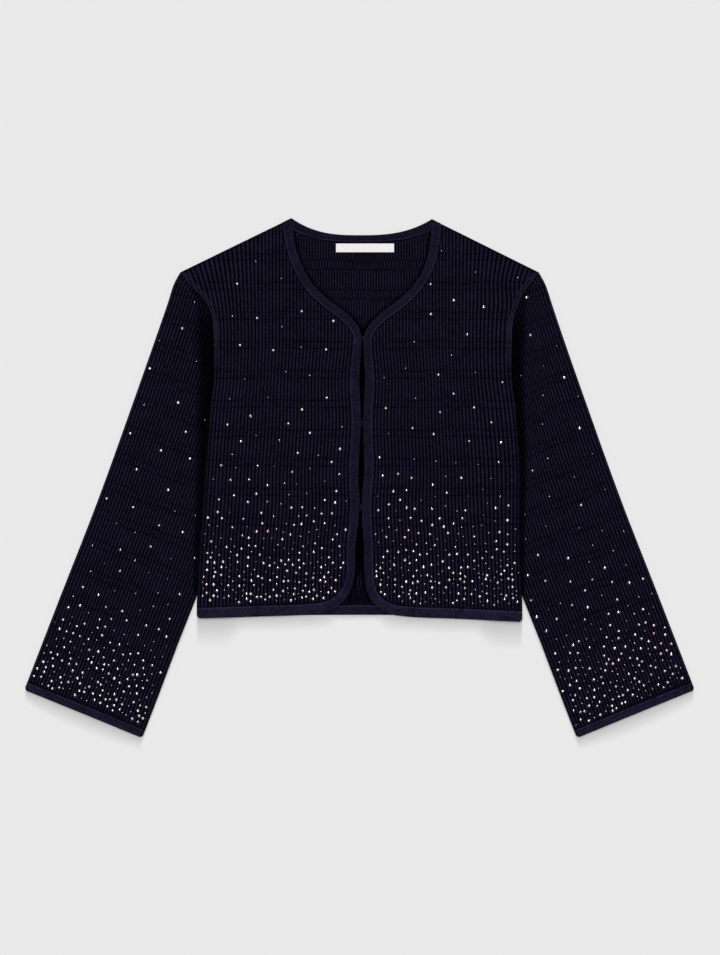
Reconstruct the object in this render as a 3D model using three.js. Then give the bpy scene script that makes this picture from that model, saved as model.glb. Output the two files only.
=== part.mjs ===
// A cropped rib-knit cardigan laid flat on its back with its fronts up, in millimetres.
// x runs across the garment towards the wearer's left sleeve, y from the hem to the neck, and z up from the
// surface that it lies on. Left and right are the wearer's. The back lies on the surface, the fronts lie on
// the back, and each sleeve is a flattened tube whose inner fold runs under the side of the body.
import * as THREE from "three";

// Cloth
const WALL = 1.4; // knit between two ribs
const RIB_HEIGHT = 0.8;
const RIB_PITCH = 4.08;
const CLOTH = WALL + RIB_HEIGHT;
const PLY_GAP = 0.4; // between two layers that lie on each other
const SEAM_GAP = 0.3;
const PANEL_GAP = 0.4; // where a panel's straight facets run beside a curved edge
const FOLD_EDGE = 0.5; // thickness left where a wall rounds off to a fold
const BAND_THICK = 2.6;
const BAND_END_TURN = 16; // over this length a band's end swings from square across to its neighbour's edge
const SAMPLE_STEP = 3; // along a curve
const EDGE_TOLERANCE = 0.14; // how far a band may stray from its curve between two sections

// Body
const SHOULDER = { x: 214.2, y: 246 };
const FRONT_RIBS = 40;
const BACK_SHOWN_HALF = 100; // inside this half width the back's ribs show, in the neck and the opening
const BACK_COLUMNS = { plain: 3, rampFrom: 0.7, ramp: 12 }; // outside the shown ribs, on each side
const BACK_SIDE_SHARE = 0.62; // outside this share the back bends wherever its side edge does
const NECK_DROP = 20.4; // from the neck points to the middle of the back neck
const NECK_CURVE = 2.8;
const NECK_BAND = { middle: 8.6, ends: 13, steps: 22 };
const BACK_HEM = { y: -165.4, drop: 2.6, band: 13 };
const BODY_LIFT = 5.4; // how high the side of the body lies on the sleeve under it
const LIFT_X = { from: 138, to: 166 };
const LIFT_Y = { from: 114, to: 58 };
const FRONT_LOFT = 2.4;
const OPENING_LOFT = 1.4;
const HEM_FADE = 45;
const SHOULDER_FADE = 42;
const SHOULDER_ROLL = 5; // how far below the shoulder line a front starts to round off
const NECK_EASE = 0.45; // extra gap where the neckline runs along the ribs
const NECK_CURVE_FROM = 200;
const CORNER_FROM = -118; // below this height a front's ribs end on its hem
// Heights at which a front's ribs may bend, away from the sides, whose ribs bend wherever the side edge does
const FRONT_ROWS = [-60, 40, 114, 175, 203, 226, 246, 275];
const SIDE_SHARE = 0.34;
// The inside of a front takes one in so many of the outside's columns, by their share of the way across
const INNER_COLUMNS = [
  { upTo: 0.36, every: 2 },
  { upTo: 0.56, every: 8 },
  { upTo: 0.74, every: 1 },
  { upTo: 2, every: 4 },
];

// Half width of the body: the armhole seam from the shoulder to the underarm, then the side down to the hem
const SIDE_EDGE = [
  { y: -180, half: 195.0 },
  { y: -148, half: 195.0 },
  { y: -90, half: 192.4 },
  { y: -19, half: 187.0 },
  { y: 20, half: 184.2 },
  { y: 56, half: 181.6 },
  { y: 84, half: 180.0 },
  { y: 99, half: 178.4 },
  { y: 114, half: 172.2 },
  { y: 144, half: 174.0 },
  { y: 175, half: 175.2 },
  { y: 192, half: 176.8 },
  { y: 203, half: 180.4 },
  { y: 215, half: 188.0 },
  { y: 226, half: 198.4 },
  { y: 241, half: 211.4 },
  { y: 246, half: 214.2 },
];
const HEM_HALF = SIDE_EDGE[0].half;
const UNDERARM_Y = 114;
const MID_HEIGHT = 60; // inside every panel

// The open edge of each front, from the neck point round the hem to the side seam. x is measured from the
// centre line towards that front's own sleeve, and band is the width of the knitted band along it.
const OPENING = {
  right: [
    { at: "neck point", x: 81.6, y: 310.6, band: 13.2 },
    { at: "neck side", x: 79.0, y: 290.0, band: 13.0 },
    { at: "neck turn", x: 72.2, y: 262.0, band: 12.4 },
    { at: "neckline upper", x: 57.0, y: 232.8, band: 12.0 },
    { at: "neckline middle", x: 36.6, y: 212.4, band: 12.0 },
    { at: "neckline lower", x: 15.0, y: 196.2, band: 12.0 },
    { at: "neckline end", x: 1.4, y: 180.0, band: 11.4 },
    { at: "top hook", x: -2.4, y: 166.0, band: 11.4 },
    { at: "upper bow", x: 0.0, y: 116.4, band: 13.2 },
    { at: "middle hook", x: -1.9, y: 64.8, band: 13.0 },
    { at: "lower bow", x: 1.1, y: 6.0, band: 13.2 },
    { at: "bottom hook", x: -0.2, y: -36.0, band: 13.2 },
    { at: "below the hooks", x: 4.6, y: -84.0, band: 12.2 },
    { at: "corner start", x: 5.8, y: -120.0, band: 12.0 },
    { at: "corner upper", x: 12.6, y: -140.5, band: 12.2 },
    { at: "corner lower", x: 29.0, y: -157.0, band: 12.8 },
    { at: "hem start", x: 52.0, y: -164.0, band: 13.6 },
    { at: "hem middle", x: 120.0, y: -167.4, band: 14.0 },
    { at: "side seam", x: 195.0, y: -169.6, band: 14.0 },
  ],
  left: [
    { at: "neck point", x: 86.6, y: 309.4, band: 13.2 },
    { at: "neck side", x: 85.3, y: 288.0, band: 13.0 },
    { at: "neck turn", x: 79.3, y: 256.7, band: 12.4 },
    { at: "neckline upper", x: 66.6, y: 232.6, band: 12.0 },
    { at: "neckline middle", x: 48.0, y: 213.5, band: 12.0 },
    { at: "neckline lower", x: 25.0, y: 196.2, band: 12.0 },
    { at: "neckline end", x: 10.2, y: 180.0, band: 11.4 },
    { at: "top hook", x: 4.8, y: 165.0, band: 11.4 },
    { at: "upper bow", x: 6.4, y: 116.4, band: 13.2 },
    { at: "middle hook", x: 4.2, y: 64.8, band: 13.0 },
    { at: "lower bow", x: 5.4, y: 10.0, band: 13.2 },
    { at: "bottom hook", x: 2.5, y: -36.0, band: 13.2 },
    { at: "below the hooks", x: 5.0, y: -84.0, band: 12.8 },
    { at: "corner start", x: 6.0, y: -120.0, band: 12.6 },
    { at: "corner upper", x: 10.4, y: -141.5, band: 12.8 },
    { at: "corner lower", x: 24.0, y: -158.0, band: 13.0 },
    { at: "hem start", x: 46.0, y: -166.2, band: 13.2 },
    { at: "hem middle", x: 120.0, y: -170.2, band: 13.6 },
    { at: "side seam", x: 195.0, y: -173.8, band: 14.0 },
  ],
};

// Sleeves, given for the left one and mirrored for the right
const SLEEVE_OUTER = [
  { at: "shoulder", x: 214.8, y: 246.0 },
  { at: "shoulder round", x: 222.6, y: 231.6 },
  { at: "cap", x: 230.6, y: 206.8 },
  { at: "upper arm", x: 270.6, y: 92.4 },
  { at: "elbow", x: 313.8, y: -27.6 },
  { at: "forearm", x: 360.6, y: -147.6 },
  { at: "cuff", x: 402.0, y: -254.8 },
];
const SLEEVE_INNER = [
  { at: "beside the body", x: 181.2, y: 98.0 },
  { at: "body meets sleeve", x: 183.4, y: 56.0 },
  { at: "dives under", x: 177.6, y: 20.0 },
  { at: "deepest", x: 173.6, y: -27.6 },
  { at: "comes back", x: 177.0, y: -75.6 },
  { at: "near the hem", x: 187.0, y: -117.6 },
  { at: "leaves the body", x: 197.0, y: -147.6 },
  { at: "forearm", x: 217.4, y: -197.0 },
  { at: "above the cuff", x: 246.0, y: -269.0 },
  { at: "cuff", x: 262.6, y: -307.4 },
];
const CUFF = { band: 10, bow: 2.4, slant: 3, extra: 0.3 };
const SLEEVE_FLOOR_WALL = 1.6;
const SLEEVE_LOFT = 2.3;
const SLEEVE_RIBS = 37;
const RIB_END = 6; // beside the inner fold, where the ribs that it cuts off are gathered
const PLAIN_POINTS = 14; // across the inside of a sleeve, and across a cuff band
const LOWER_POINTS = 11; // across the lower layer of either
const FOLD_RADIUS = 2.6;
const SEAM_RISE = { height: 0.6, reach: 14 };
// Soft troughs down the sleeve from the armhole, in millimetres across and along it
const SLEEVE_CREASES = [
  { fromAcross: 46, fromAlong: 44, toAcross: 84, toAlong: 215, halfWidth: 8, depth: 0.85 },
  { fromAcross: 66, fromAlong: 95, toAcross: 112, toAlong: 290, halfWidth: 6, depth: 0.5 },
  { fromAcross: 22, fromAlong: 30, toAcross: 40, toAlong: 150, halfWidth: 7, depth: 0.3 },
];

// Fastenings and labels
const HOOKS = [
  { name: "top", x: 3.6, y: 166 },
  { name: "middle", x: 3.1, y: 64.8 },
  { name: "bottom", x: 1.35, y: -36 },
];
const WIRE = { radius: 0.4, z: 3.05, sides: 5 };
const LABEL = { x: 6.6, top: 280.6, width: 69.6, height: 10.8, thick: 0.5 };
const TAB = { x: 6.0, top: 269.4, width: 27.6, height: 13.2, thick: 0.35 };

const COLOUR = { knit: 0x1b182c, band: 0x211e34, label: 0xf3f0ec, tab: 0x0d0b14, metal: 0x5a5a60 };

const clamp = (v, low = 0, high = 1) => Math.min(high, Math.max(low, v));
const mix = (a, b, share) => a + (b - a) * share;
const ease = (v) => {
  const c = clamp(v);
  return c * c * (3 - 2 * c);
};

// Straight-line interpolation of one column of a table, whose rows are in rising order of another column.
function lookUp(rows, from, to, value) {
  let i = 1;
  while (i < rows.length - 1 && rows[i][from] < value) i++;
  const a = rows[i - 1];
  const b = rows[i];
  return mix(a[to], b[to], clamp((value - a[from]) / (b[from] - a[from])));
}

// The last value on the way from one that is inside to one that may not be, found by halving.
function lastInside(from, to, inside) {
  let near = from;
  let far = to;
  for (let k = 0; k < 40; k++) {
    const value = (near + far) / 2;
    if (inside(value)) near = value;
    else far = value;
  }
  return near;
}

// A smooth curve through the rows of a table: cubic pieces whose slopes come from the rows on either side.
function curveThrough(rows, columns, step) {
  const along = [0];
  for (let i = 1; i < rows.length; i++)
    along.push(along[i - 1] + Math.hypot(rows[i].x - rows[i - 1].x, rows[i].y - rows[i - 1].y));
  const slope = (i, c) => {
    const a = Math.max(0, i - 1);
    const b = Math.min(rows.length - 1, i + 1);
    return (rows[b][c] - rows[a][c]) / (along[b] - along[a]);
  };
  const samples = [];
  for (let i = 0; i < rows.length - 1; i++) {
    const length = along[i + 1] - along[i];
    const count = Math.max(1, Math.round(length / step));
    for (let k = i === 0 ? 0 : 1; k <= count; k++) {
      const t = k / count;
      const sample = {};
      for (const c of columns) {
        const late = 3 * t ** 2 - 2 * t ** 3;
        const startPart = mix(rows[i][c], rows[i + 1][c], late);
        const slopePart = slope(i, c) * (t ** 3 - 2 * t ** 2 + t) + slope(i + 1, c) * (t ** 3 - t ** 2);
        sample[c] = startPart + slopePart * length;
      }
      samples.push(sample);
    }
  }
  return samples;
}

// Adds to each sample its distance along the curve and the unit direction there.
function withDirections(samples) {
  let length = 0;
  samples.forEach((p, i) => {
    const a = samples[Math.max(0, i - 1)];
    const b = samples[Math.min(samples.length - 1, i + 1)];
    const size = Math.hypot(b.x - a.x, b.y - a.y);
    if (i > 0) length += Math.hypot(p.x - a.x, p.y - a.y);
    p.along = length;
    p.dx = (b.x - a.x) / size;
    p.dy = (b.y - a.y) / size;
  });
  return samples;
}

// A closed solid, collected as points and triangles.
class Solid {
  constructor() {
    this.points = [];
    this.faces = [];
  }

  point(x, y, z, at) {
    this.points.push(x, y, z);
    return { id: this.points.length / 3 - 1, at };
  }

  // Fills the strip between two lines of points, always taking the nearer next step.
  strip(lineA, lineB) {
    let i = 0;
    let j = 0;
    while (i < lineA.length - 1 || j < lineB.length - 1) {
      const nextA = i < lineA.length - 1 ? lineA[i + 1].at : Infinity;
      const nextB = j < lineB.length - 1 ? lineB[j + 1].at : Infinity;
      if (nextA <= nextB) {
        this.faces.push(lineA[i].id, lineB[j].id, lineA[i + 1].id);
        i++;
      } else {
        this.faces.push(lineA[i].id, lineB[j].id, lineB[j + 1].id);
        j++;
      }
    }
  }

  // A wall between two faces, each a list of columns of points. Their counts may differ.
  wall(outer, inner) {
    for (let i = 1; i < outer.length; i++) this.strip(outer[i - 1], outer[i]);
    for (let i = 1; i < inner.length; i++) this.strip(inner[i], inner[i - 1]);
    const end = (columns, pick) => columns.map((c) => ({ id: pick(c).id, at: c.across }));
    this.strip(inner[0], outer[0]);
    this.strip(outer.at(-1), inner.at(-1));
    this.strip(end(outer, (c) => c[0]), end(inner, (c) => c[0]));
    this.strip(end(inner, (c) => c.at(-1)), end(outer, (c) => c.at(-1)));
  }

  // A tube between two rings of columns, open at both ends, with a rim at each end.
  tube(outer, inner) {
    const around = (columns, row) => {
      const line = columns.map((c) => ({ id: c.at(row).id, at: c.at(row).around }));
      return [...line, { id: line[0].id, at: 1 }];
    };
    outer.forEach((c, i) => this.strip(c, outer[(i + 1) % outer.length]));
    inner.forEach((c, i) => this.strip(inner[(i + 1) % inner.length], c));
    this.strip(around(outer, 0), around(inner, 0));
    this.strip(around(inner, -1), around(outer, -1));
  }

  // A bar through a list of sections, each a ring of the same number of points round a convex outline.
  bar(sections) {
    const rings = sections.map((ring) => ring.map((p) => this.point(p.x, p.y, p.z).id));
    const count = rings[0].length;
    for (let s = 1; s < rings.length; s++) {
      for (let i = 0; i < count; i++) {
        const j = (i + 1) % count;
        this.faces.push(rings[s - 1][i], rings[s][i], rings[s][j]);
        this.faces.push(rings[s - 1][i], rings[s][j], rings[s - 1][j]);
      }
    }
    for (let i = 1; i < count - 1; i++) {
      this.faces.push(rings[0][0], rings[0][i], rings[0][i + 1]);
      this.faces.push(rings.at(-1)[0], rings.at(-1)[i + 1], rings.at(-1)[i]);
    }
  }

  geometry() {
    const p = (i) => new THREE.Vector3().fromArray(this.points, i * 3);
    let volume = 0;
    for (let i = 0; i < this.faces.length; i += 3)
      volume += p(this.faces[i]).dot(p(this.faces[i + 1]).cross(p(this.faces[i + 2])));
    if (volume < 0)
      for (let i = 0; i < this.faces.length; i += 3)
        [this.faces[i + 1], this.faces[i + 2]] = [this.faces[i + 2], this.faces[i + 1]];
    const geometry = new THREE.BufferGeometry();
    geometry.setAttribute("position", new THREE.Float32BufferAttribute(this.points, 3));
    geometry.setIndex(this.faces);
    geometry.computeVertexNormals();
    return geometry;
  }
}

const halfWidth = (y) => lookUp(SIDE_EDGE, "y", "half", y);

// The side of the body rides up over the sleeve that lies under it.
function lift(x, y) {
  const across = ease((Math.abs(x) - LIFT_X.from) / (LIFT_X.to - LIFT_X.from));
  const along = ease((LIFT_Y.from - y) / (LIFT_Y.from - LIFT_Y.to));
  return BODY_LIFT * across * along;
}

function shoulderLine(side, x) {
  const neck = OPENING[side][0];
  return SHOULDER.y + ((SHOULDER.x - x) * (neck.y - SHOULDER.y)) / (SHOULDER.x - neck.x);
}

// Height of the front layer's underside at a point of the front: it lies on the back and bellies up a little.
function frontBase(side, x, y) {
  const across = clamp(1 - x / halfWidth(y));
  const belly = FRONT_LOFT * 0.6 * Math.sin(Math.PI * across) ** 0.8 + OPENING_LOFT * across ** 2;
  const hem = 0.3 + 0.7 * ease((y + 170) / HEM_FADE);
  const shoulder = ease((shoulderLine(side, x) - y) / SHOULDER_FADE);
  return lift(x, y) + CLOTH + PLY_GAP + belly * hem * shoulder;
}

// Stations along the open edge of a front: the edge, the direction across the band, and the band's width.
function openingStations(side) {
  const samples = withDirections(curveThrough(OPENING[side], ["x", "y", "band"], SAMPLE_STEP));
  const neck = OPENING[side][0];
  const slant = Math.atan2(SHOULDER.y - neck.y, SHOULDER.x - neck.x);
  const hemEnd = samples.at(-1).along;
  for (const p of samples) {
    const square = Math.atan2(p.dx, -p.dy);
    const nearNeck = ease(1 - p.along / BAND_END_TURN);
    const nearSide = ease(1 - (hemEnd - p.along) / BAND_END_TURN);
    const angle = mix(mix(square, slant, nearNeck), Math.PI / 2, nearSide);
    p.nx = Math.cos(angle);
    p.ny = Math.sin(angle);
  }
  return samples;
}

// Drops the stations that lie within a tolerance of the straight line between those that are kept.
function thinned(samples, tolerance, height) {
  const keep = new Set([0, samples.length - 1]);
  const split = (a, b) => {
    let worst = 0;
    let at = -1;
    for (let i = a + 1; i < b; i++) {
      const t = (samples[i].along - samples[a].along) / (samples[b].along - samples[a].along);
      const off = Math.hypot(
        samples[i].x - mix(samples[a].x, samples[b].x, t),
        samples[i].y - mix(samples[a].y, samples[b].y, t),
        height(samples[i]) - mix(height(samples[a]), height(samples[b]), t),
        0.3 * (samples[i].band - mix(samples[a].band, samples[b].band, t)),
      );
      if (off > worst) {
        worst = off;
        at = i;
      }
    }
    if (worst > tolerance) {
      keep.add(at);
      split(a, at);
      split(at, b);
    }
  };
  split(0, samples.length - 1);
  return [...keep].sort((a, b) => a - b).map((i) => samples[i]);
}

const stations = { right: openingStations("right"), left: openingStations("left") };
const bandStations = {};
for (const side of ["right", "left"])
  bandStations[side] = thinned(stations[side], EDGE_TOLERANCE, (p) => frontBase(side, p.x, p.y));

// The front panel's own edge beside the band, split into neckline, front edge and hem.
function panelEdge(side) {
  const edge = stations[side].map((p) => {
    const gap = PANEL_GAP + (p.y > NECK_CURVE_FROM ? NECK_EASE * p.dy ** 2 : 0);
    return { x: p.x + p.nx * (p.band + gap), y: p.y + p.ny * (p.band + gap) };
  });
  const frontTop = edge.reduce((best, p, i) => (p.y > UNDERARM_Y && p.x < edge[best].x ? i : best), 0);
  const cornerTop = edge.findIndex((p) => p.y < CORNER_FROM);
  return {
    neckline: edge.slice(0, frontTop + 1).reverse(),
    front: edge.slice(frontTop, cornerTop + 1).reverse(),
    hem: edge.slice(cornerTop),
  };
}

// A rib of a front is a column from hem to top: it leans from the side edge towards the front edge.
function frontShape(side) {
  const edge = panelEdge(side);
  const guide = (y) => lookUp(edge.front, "y", "x", y);
  const columnX = (s, y) => mix(halfWidth(y), guide(y), s);
  const bisect = (s, from, to, inside) => lastInside(from, to, (y) => inside(columnX(s, y), y));
  const neckTop = edge.neckline.at(-1);
  const belowShoulder = (x, y) => y <= shoulderLine(side, x) - SEAM_GAP * 0.5;
  const outsideNeck = (x, y) => y > neckTop.y || x >= lookUp(edge.neckline, "y", "x", y);
  const inPanel = (x, y) => belowShoulder(x, y) && (x > neckTop.x || outsideNeck(x, y));
  const aboveHem = (x, y) => y >= lookUp(edge.hem, "x", "y", x);
  const topOf = (s) =>
    s > 0.999
      ? edge.neckline[0].y
      : bisect(s, MID_HEIGHT, neckTop.y, inPanel);
  const bottomOf = (s) =>
    s > 0.999 ? edge.hem[0].y : bisect(s, MID_HEIGHT, SIDE_EDGE[0].y, aboveHem);
  return { edge, columnX, topOf, bottomOf };
}

function frontPanel(side) {
  const sign = side === "left" ? 1 : -1;
  const shape = frontShape(side);
  const solid = new Solid();
  const sideHeights = SIDE_EDGE.map((r) => r.y);
  const edgeHeights = bandStations[side].map((p) => p.y).reverse();
  const heightsOf = (s) => (s < SIDE_SHARE ? sideHeights : s > 0.999 ? edgeHeights : FRONT_ROWS);
  const columns = (shares, thickness) =>
    shares.map((s, i) => {
      const bottom = shape.bottomOf(s);
      const top = shape.topOf(s);
      const atShoulder = shape.columnX(s, top) > shape.edge.neckline.at(-1).x;
      const roll = top - SHOULDER_ROLL;
      const heights = heightsOf(s).filter((y) => y > bottom + 2 && y < roll - 2);
      const column = [bottom, ...heights, roll, top].map((y) => {
        const x = shape.columnX(s, y);
        const onFold = (s === 0 && y < UNDERARM_Y - 1) || (y === top && atShoulder && s > 0.02);
        const z = frontBase(side, x, y) + (thickness ? (onFold ? FOLD_EDGE : thickness(i)) : 0);
        return solid.point(sign * x, y, z, y);
      });
      column.across = s;
      return column;
    });
  const outerShares = Array.from({ length: FRONT_RIBS * 2 + 1 }, (_, i) => i / (FRONT_RIBS * 2));
  const every = (s) => INNER_COLUMNS.find((zone) => s < zone.upTo).every;
  const innerShares = outerShares.filter((s, i) => i % every(s) === 0);
  const lastRib = FRONT_RIBS * 2;
  const outer = columns(outerShares, (i) => WALL + (i % 2 === 1 && i < lastRib ? RIB_HEIGHT : 0));
  solid.wall(outer, columns(innerShares, null));
  return solid;
}

function backNeck(x) {
  const reach = x > 0 ? OPENING.left[0] : OPENING.right[0];
  const share = clamp(Math.abs(x) / reach.x, 0, 1.2);
  const rise = reach.y - OPENING.right[0].y + NECK_DROP;
  return OPENING.right[0].y - NECK_DROP + rise * share ** NECK_CURVE;
}
const neckBandWidth = (x) => {
  const share = clamp(Math.abs(x) / OPENING.right[0].x);
  return mix(NECK_BAND.middle, NECK_BAND.ends, share ** 2);
};
const backHem = (x) => BACK_HEM.y - BACK_HEM.drop * (x / HEM_HALF) ** 2;
const sideOf = (x) => (x > 0 ? "left" : "right");

// Stations along the back neck band: its top edge, the direction across it, and its width. Its ends swing
// out to lie along the shoulder line.
const neckStations = Array.from({ length: NECK_BAND.steps + 1 }, (_, i) => {
  const x = mix(-OPENING.right[0].x, OPENING.left[0].x, i / NECK_BAND.steps);
  const neck = OPENING[sideOf(x)][0];
  const step = 0.4;
  const slope = (backNeck(x + step) - backNeck(x - step)) / (2 * step);
  const run = Math.hypot(SHOULDER.x - neck.x, SHOULDER.y - neck.y);
  const end = ease((Math.abs(x) / neck.x - 0.8) / 0.2);
  const nx = mix(slope / Math.hypot(1, slope), (Math.sign(x) * (SHOULDER.x - neck.x)) / run, end);
  const ny = mix(-1 / Math.hypot(1, slope), (SHOULDER.y - neck.y) / run, end);
  const length = Math.hypot(nx, ny);
  return { x, y: backNeck(x), nx: nx / length, ny: ny / length, width: neckBandWidth(x) };
});
const backEdge = neckStations.map((p) => {
  const out = p.width + PANEL_GAP;
  return { x: p.x + p.nx * out, y: p.y + p.ny * out };
});

function backTop(x) {
  const shoulder = shoulderLine(sideOf(x), Math.abs(x)) - SEAM_GAP * 0.5;
  if (x < backEdge[0].x || x > backEdge.at(-1).x) return shoulder;
  return Math.min(shoulder, lookUp(backEdge, "x", "y", x));
}

function backPanel() {
  const solid = new Solid();
  const low = backHem(HEM_HALF) + BACK_HEM.band + SEAM_GAP;
  const high = SHOULDER.y - SEAM_GAP * 0.5;
  const sideRows = SIDE_EDGE.filter((r) => r.y > low + 2 && r.y < high - 2);
  const outerRows = [0, ...sideRows.map((r) => (r.y - low) / (high - low)), 1];
  const middleRows = [0, 0.25, 0.5, 0.75, 1];
  // s runs from -1 at the right side to 1 at the left side
  const column = (s, height) => {
    const steps = Math.abs(s) > BACK_SIDE_SHARE ? outerRows : middleRows;
    const bottom = backHem(s * HEM_HALF) + BACK_HEM.band + SEAM_GAP;
    const top = lastInside(UNDERARM_Y, OPENING.right[0].y, (y) => y <= backTop(s * halfWidth(y)));
    const points = steps.map((v) => {
      const y = mix(bottom, top, v);
      const x = s * halfWidth(y);
      return solid.point(x, y, height(x, y), v);
    });
    points.across = s;
    return points;
  };
  const shown = BACK_SHOWN_HALF / halfWidth(0);
  const ribCount = Math.round((BACK_SHOWN_HALF * 2) / RIB_PITCH);
  const ribShares = Array.from({ length: ribCount * 2 + 1 }, (_, i) => mix(-shown, shown, i / (ribCount * 2)));
  const sideShares = [];
  const { plain, rampFrom, ramp } = BACK_COLUMNS;
  for (let k = 1; k <= plain; k++) sideShares.push(mix(shown, rampFrom, k / plain));
  for (let k = 1; k <= ramp; k++) sideShares.push(mix(rampFrom, 1, k / ramp));
  const shares = [...sideShares.map((s) => -s).reverse(), ...ribShares, ...sideShares];
  const underShares = ribShares.filter((s, i) => i % 4 === 0 || i === ribCount * 2);
  const plainShares = [...sideShares.map((s) => -s).reverse(), ...underShares, ...sideShares];
  const rib = (s) => {
    const index = Math.round(((s + shown) / (2 * shown)) * ribCount * 2);
    return Math.abs(s) < shown && index % 2 === 1 ? RIB_HEIGHT : 0;
  };
  const underSide = (s, y) => (Math.abs(s) > 0.999 && y < UNDERARM_Y - 1 ? WALL - FOLD_EDGE : 0);
  const upper = shares.map((s) => column(s, (x, y) => lift(x, y) + WALL + rib(s)));
  const under = plainShares.map((s) => column(s, (x, y) => lift(x, y) + underSide(s, y)));
  solid.wall(upper, under);
  return solid;
}

// A sleeve has its own directions: along it from the shoulder, and across it from the outer fold.
const sleeveOuter = withDirections(curveThrough(SLEEVE_OUTER, ["x", "y"], SAMPLE_STEP));
const sleeveLength = sleeveOuter.at(-1).along;

function sleevePoint(across, along) {
  const x = lookUp(sleeveOuter, "along", "x", along);
  const y = lookUp(sleeveOuter, "along", "y", along);
  const dx = lookUp(sleeveOuter, "along", "dx", along);
  const dy = lookUp(sleeveOuter, "along", "dy", along);
  const beyond = Math.max(0, along - sleeveLength);
  return { x: x + dy * across + dx * beyond, y: y - dx * across + dy * beyond };
}

function sleeveCoordinates(x, y) {
  let along = sleeveLength / 2;
  let across = 0;
  for (let k = 0; k < 30; k++) {
    const p = sleevePoint(0, along);
    const dx = lookUp(sleeveOuter, "along", "dx", along);
    const dy = lookUp(sleeveOuter, "along", "dy", along);
    along = clamp(along + (x - p.x) * dx + (y - p.y) * dy, 0, sleeveLength * 1.1);
    across = (x - p.x) * dy - (y - p.y) * dx;
  }
  return { across, along };
}

// The armhole seam as the sleeve sees it, a seam gap away from the body.
const armhole = SIDE_EDGE.filter((r) => r.y >= UNDERARM_Y)
  .reverse()
  .map((r, i, rows) => {
    const a = rows[Math.max(0, i - 1)];
    const b = rows[Math.min(rows.length - 1, i + 1)];
    const size = Math.hypot(b.half - a.half, b.y - a.y);
    const x = r.half - ((b.y - a.y) / size) * PANEL_GAP;
    return sleeveCoordinates(x, r.y + ((b.half - a.half) / size) * PANEL_GAP);
  });
armhole[0] = { across: 0, along: 0.4 };
const underarm = armhole.at(-1);
const innerFold = [underarm, ...SLEEVE_INNER.map((r) => sleeveCoordinates(r.x, r.y))];
const foldAcross = (along) => lookUp(innerFold, "along", "across", along);
const cuffWidth = innerFold.at(-1).across;

// v runs along the sleeve from the cuff at 0 to the armhole at 1, and trim shortens the sleeve at its cuff.
function sleeveRow({ v, trim }) {
  const cuffAt = (across) => {
    const share = across / cuffWidth;
    return sleeveLength + CUFF.slant * share - CUFF.bow * Math.sin(Math.PI * clamp(share)) - trim;
  };
  const seamAt = (across) => lookUp(armhole, "across", "along", Math.min(across, underarm.across));
  const foldAlong = mix(cuffAt(cuffWidth), underarm.along, v);
  const width = foldAcross(foldAlong);
  return { width, alongAt: (across) => mix(cuffAt(across), seamAt(across), v) };
}

function sleeveLoft(across, along, width) {
  const underBody = ease((along - 130) / 60) * ease((400 - along) / 60);
  const free = width - 26 * underBody;
  let loft = SLEEVE_LOFT * Math.sin(Math.PI * clamp(across / free)) ** 0.7;
  for (const c of SLEEVE_CREASES) {
    const share = (along - c.fromAlong) / (c.toAlong - c.fromAlong);
    const centre = mix(c.fromAcross, c.toAcross, share);
    const strength = share > 0 && share < 1 ? Math.sin(Math.PI * share) ** 0.7 : 0;
    loft *= 1 - c.depth * strength * Math.exp(-(((across - centre) / c.halfWidth) ** 2));
  }
  return loft;
}

// Nearness to the armhole seam, 1 on it and 0 a little way down the sleeve.
function nearSeam(across, along) {
  if (across > underarm.across) return 0;
  return ease(1 - (along - lookUp(armhole, "across", "along", across)) / SEAM_RISE.reach);
}

// Where the upper layer's points lie across the sleeve. They keep the ribs' pitch from the outer fold, and the
// ribs that the inner fold cuts off are gathered beside it.
function upperAcross(index, width, ribs) {
  if (!ribs) return (index * width) / PLAIN_POINTS;
  const across = (index * RIB_PITCH) / 2;
  const limit = width - RIB_END;
  return across <= limit ? across : limit + ((across - limit) * RIB_END) / (SLEEVE_RIBS * RIB_PITCH - limit);
}

// A point of the flattened ring, on its upper or lower layer, and on its outer or inner face.
function ringPoint(solid, row, spot, face) {
  const place = face.inset + (spot.across * (row.width - 2 * face.inset)) / row.width;
  const along = row.alongAt(place);
  const near = nearSeam(place, along);
  const rise = sleeveLoft(place, along, row.width) * (1 - near * 0.8) + SEAM_RISE.height * near;
  const ceiling = SLEEVE_FLOOR_WALL + PLY_GAP + rise;
  const middle = (SLEEVE_FLOOR_WALL + ceiling) / 2;
  const upperZ = ceiling + spot.thick;
  const lowerZ = face.inside ? SLEEVE_FLOOR_WALL : 0;
  const edge = Math.min(spot.across, row.width - spot.across) / (face.inside ? FOLD_RADIUS / 2 : FOLD_RADIUS);
  const round = edge >= 1 ? 1 : Math.sqrt(1 - (1 - edge) ** 2);
  const p = sleevePoint(place, along);
  const point = solid.point(face.sign * p.x, p.y, mix(middle, spot.upper ? upperZ : lowerZ, round), row.at);
  point.around = spot.around;
  return point;
}

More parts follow.
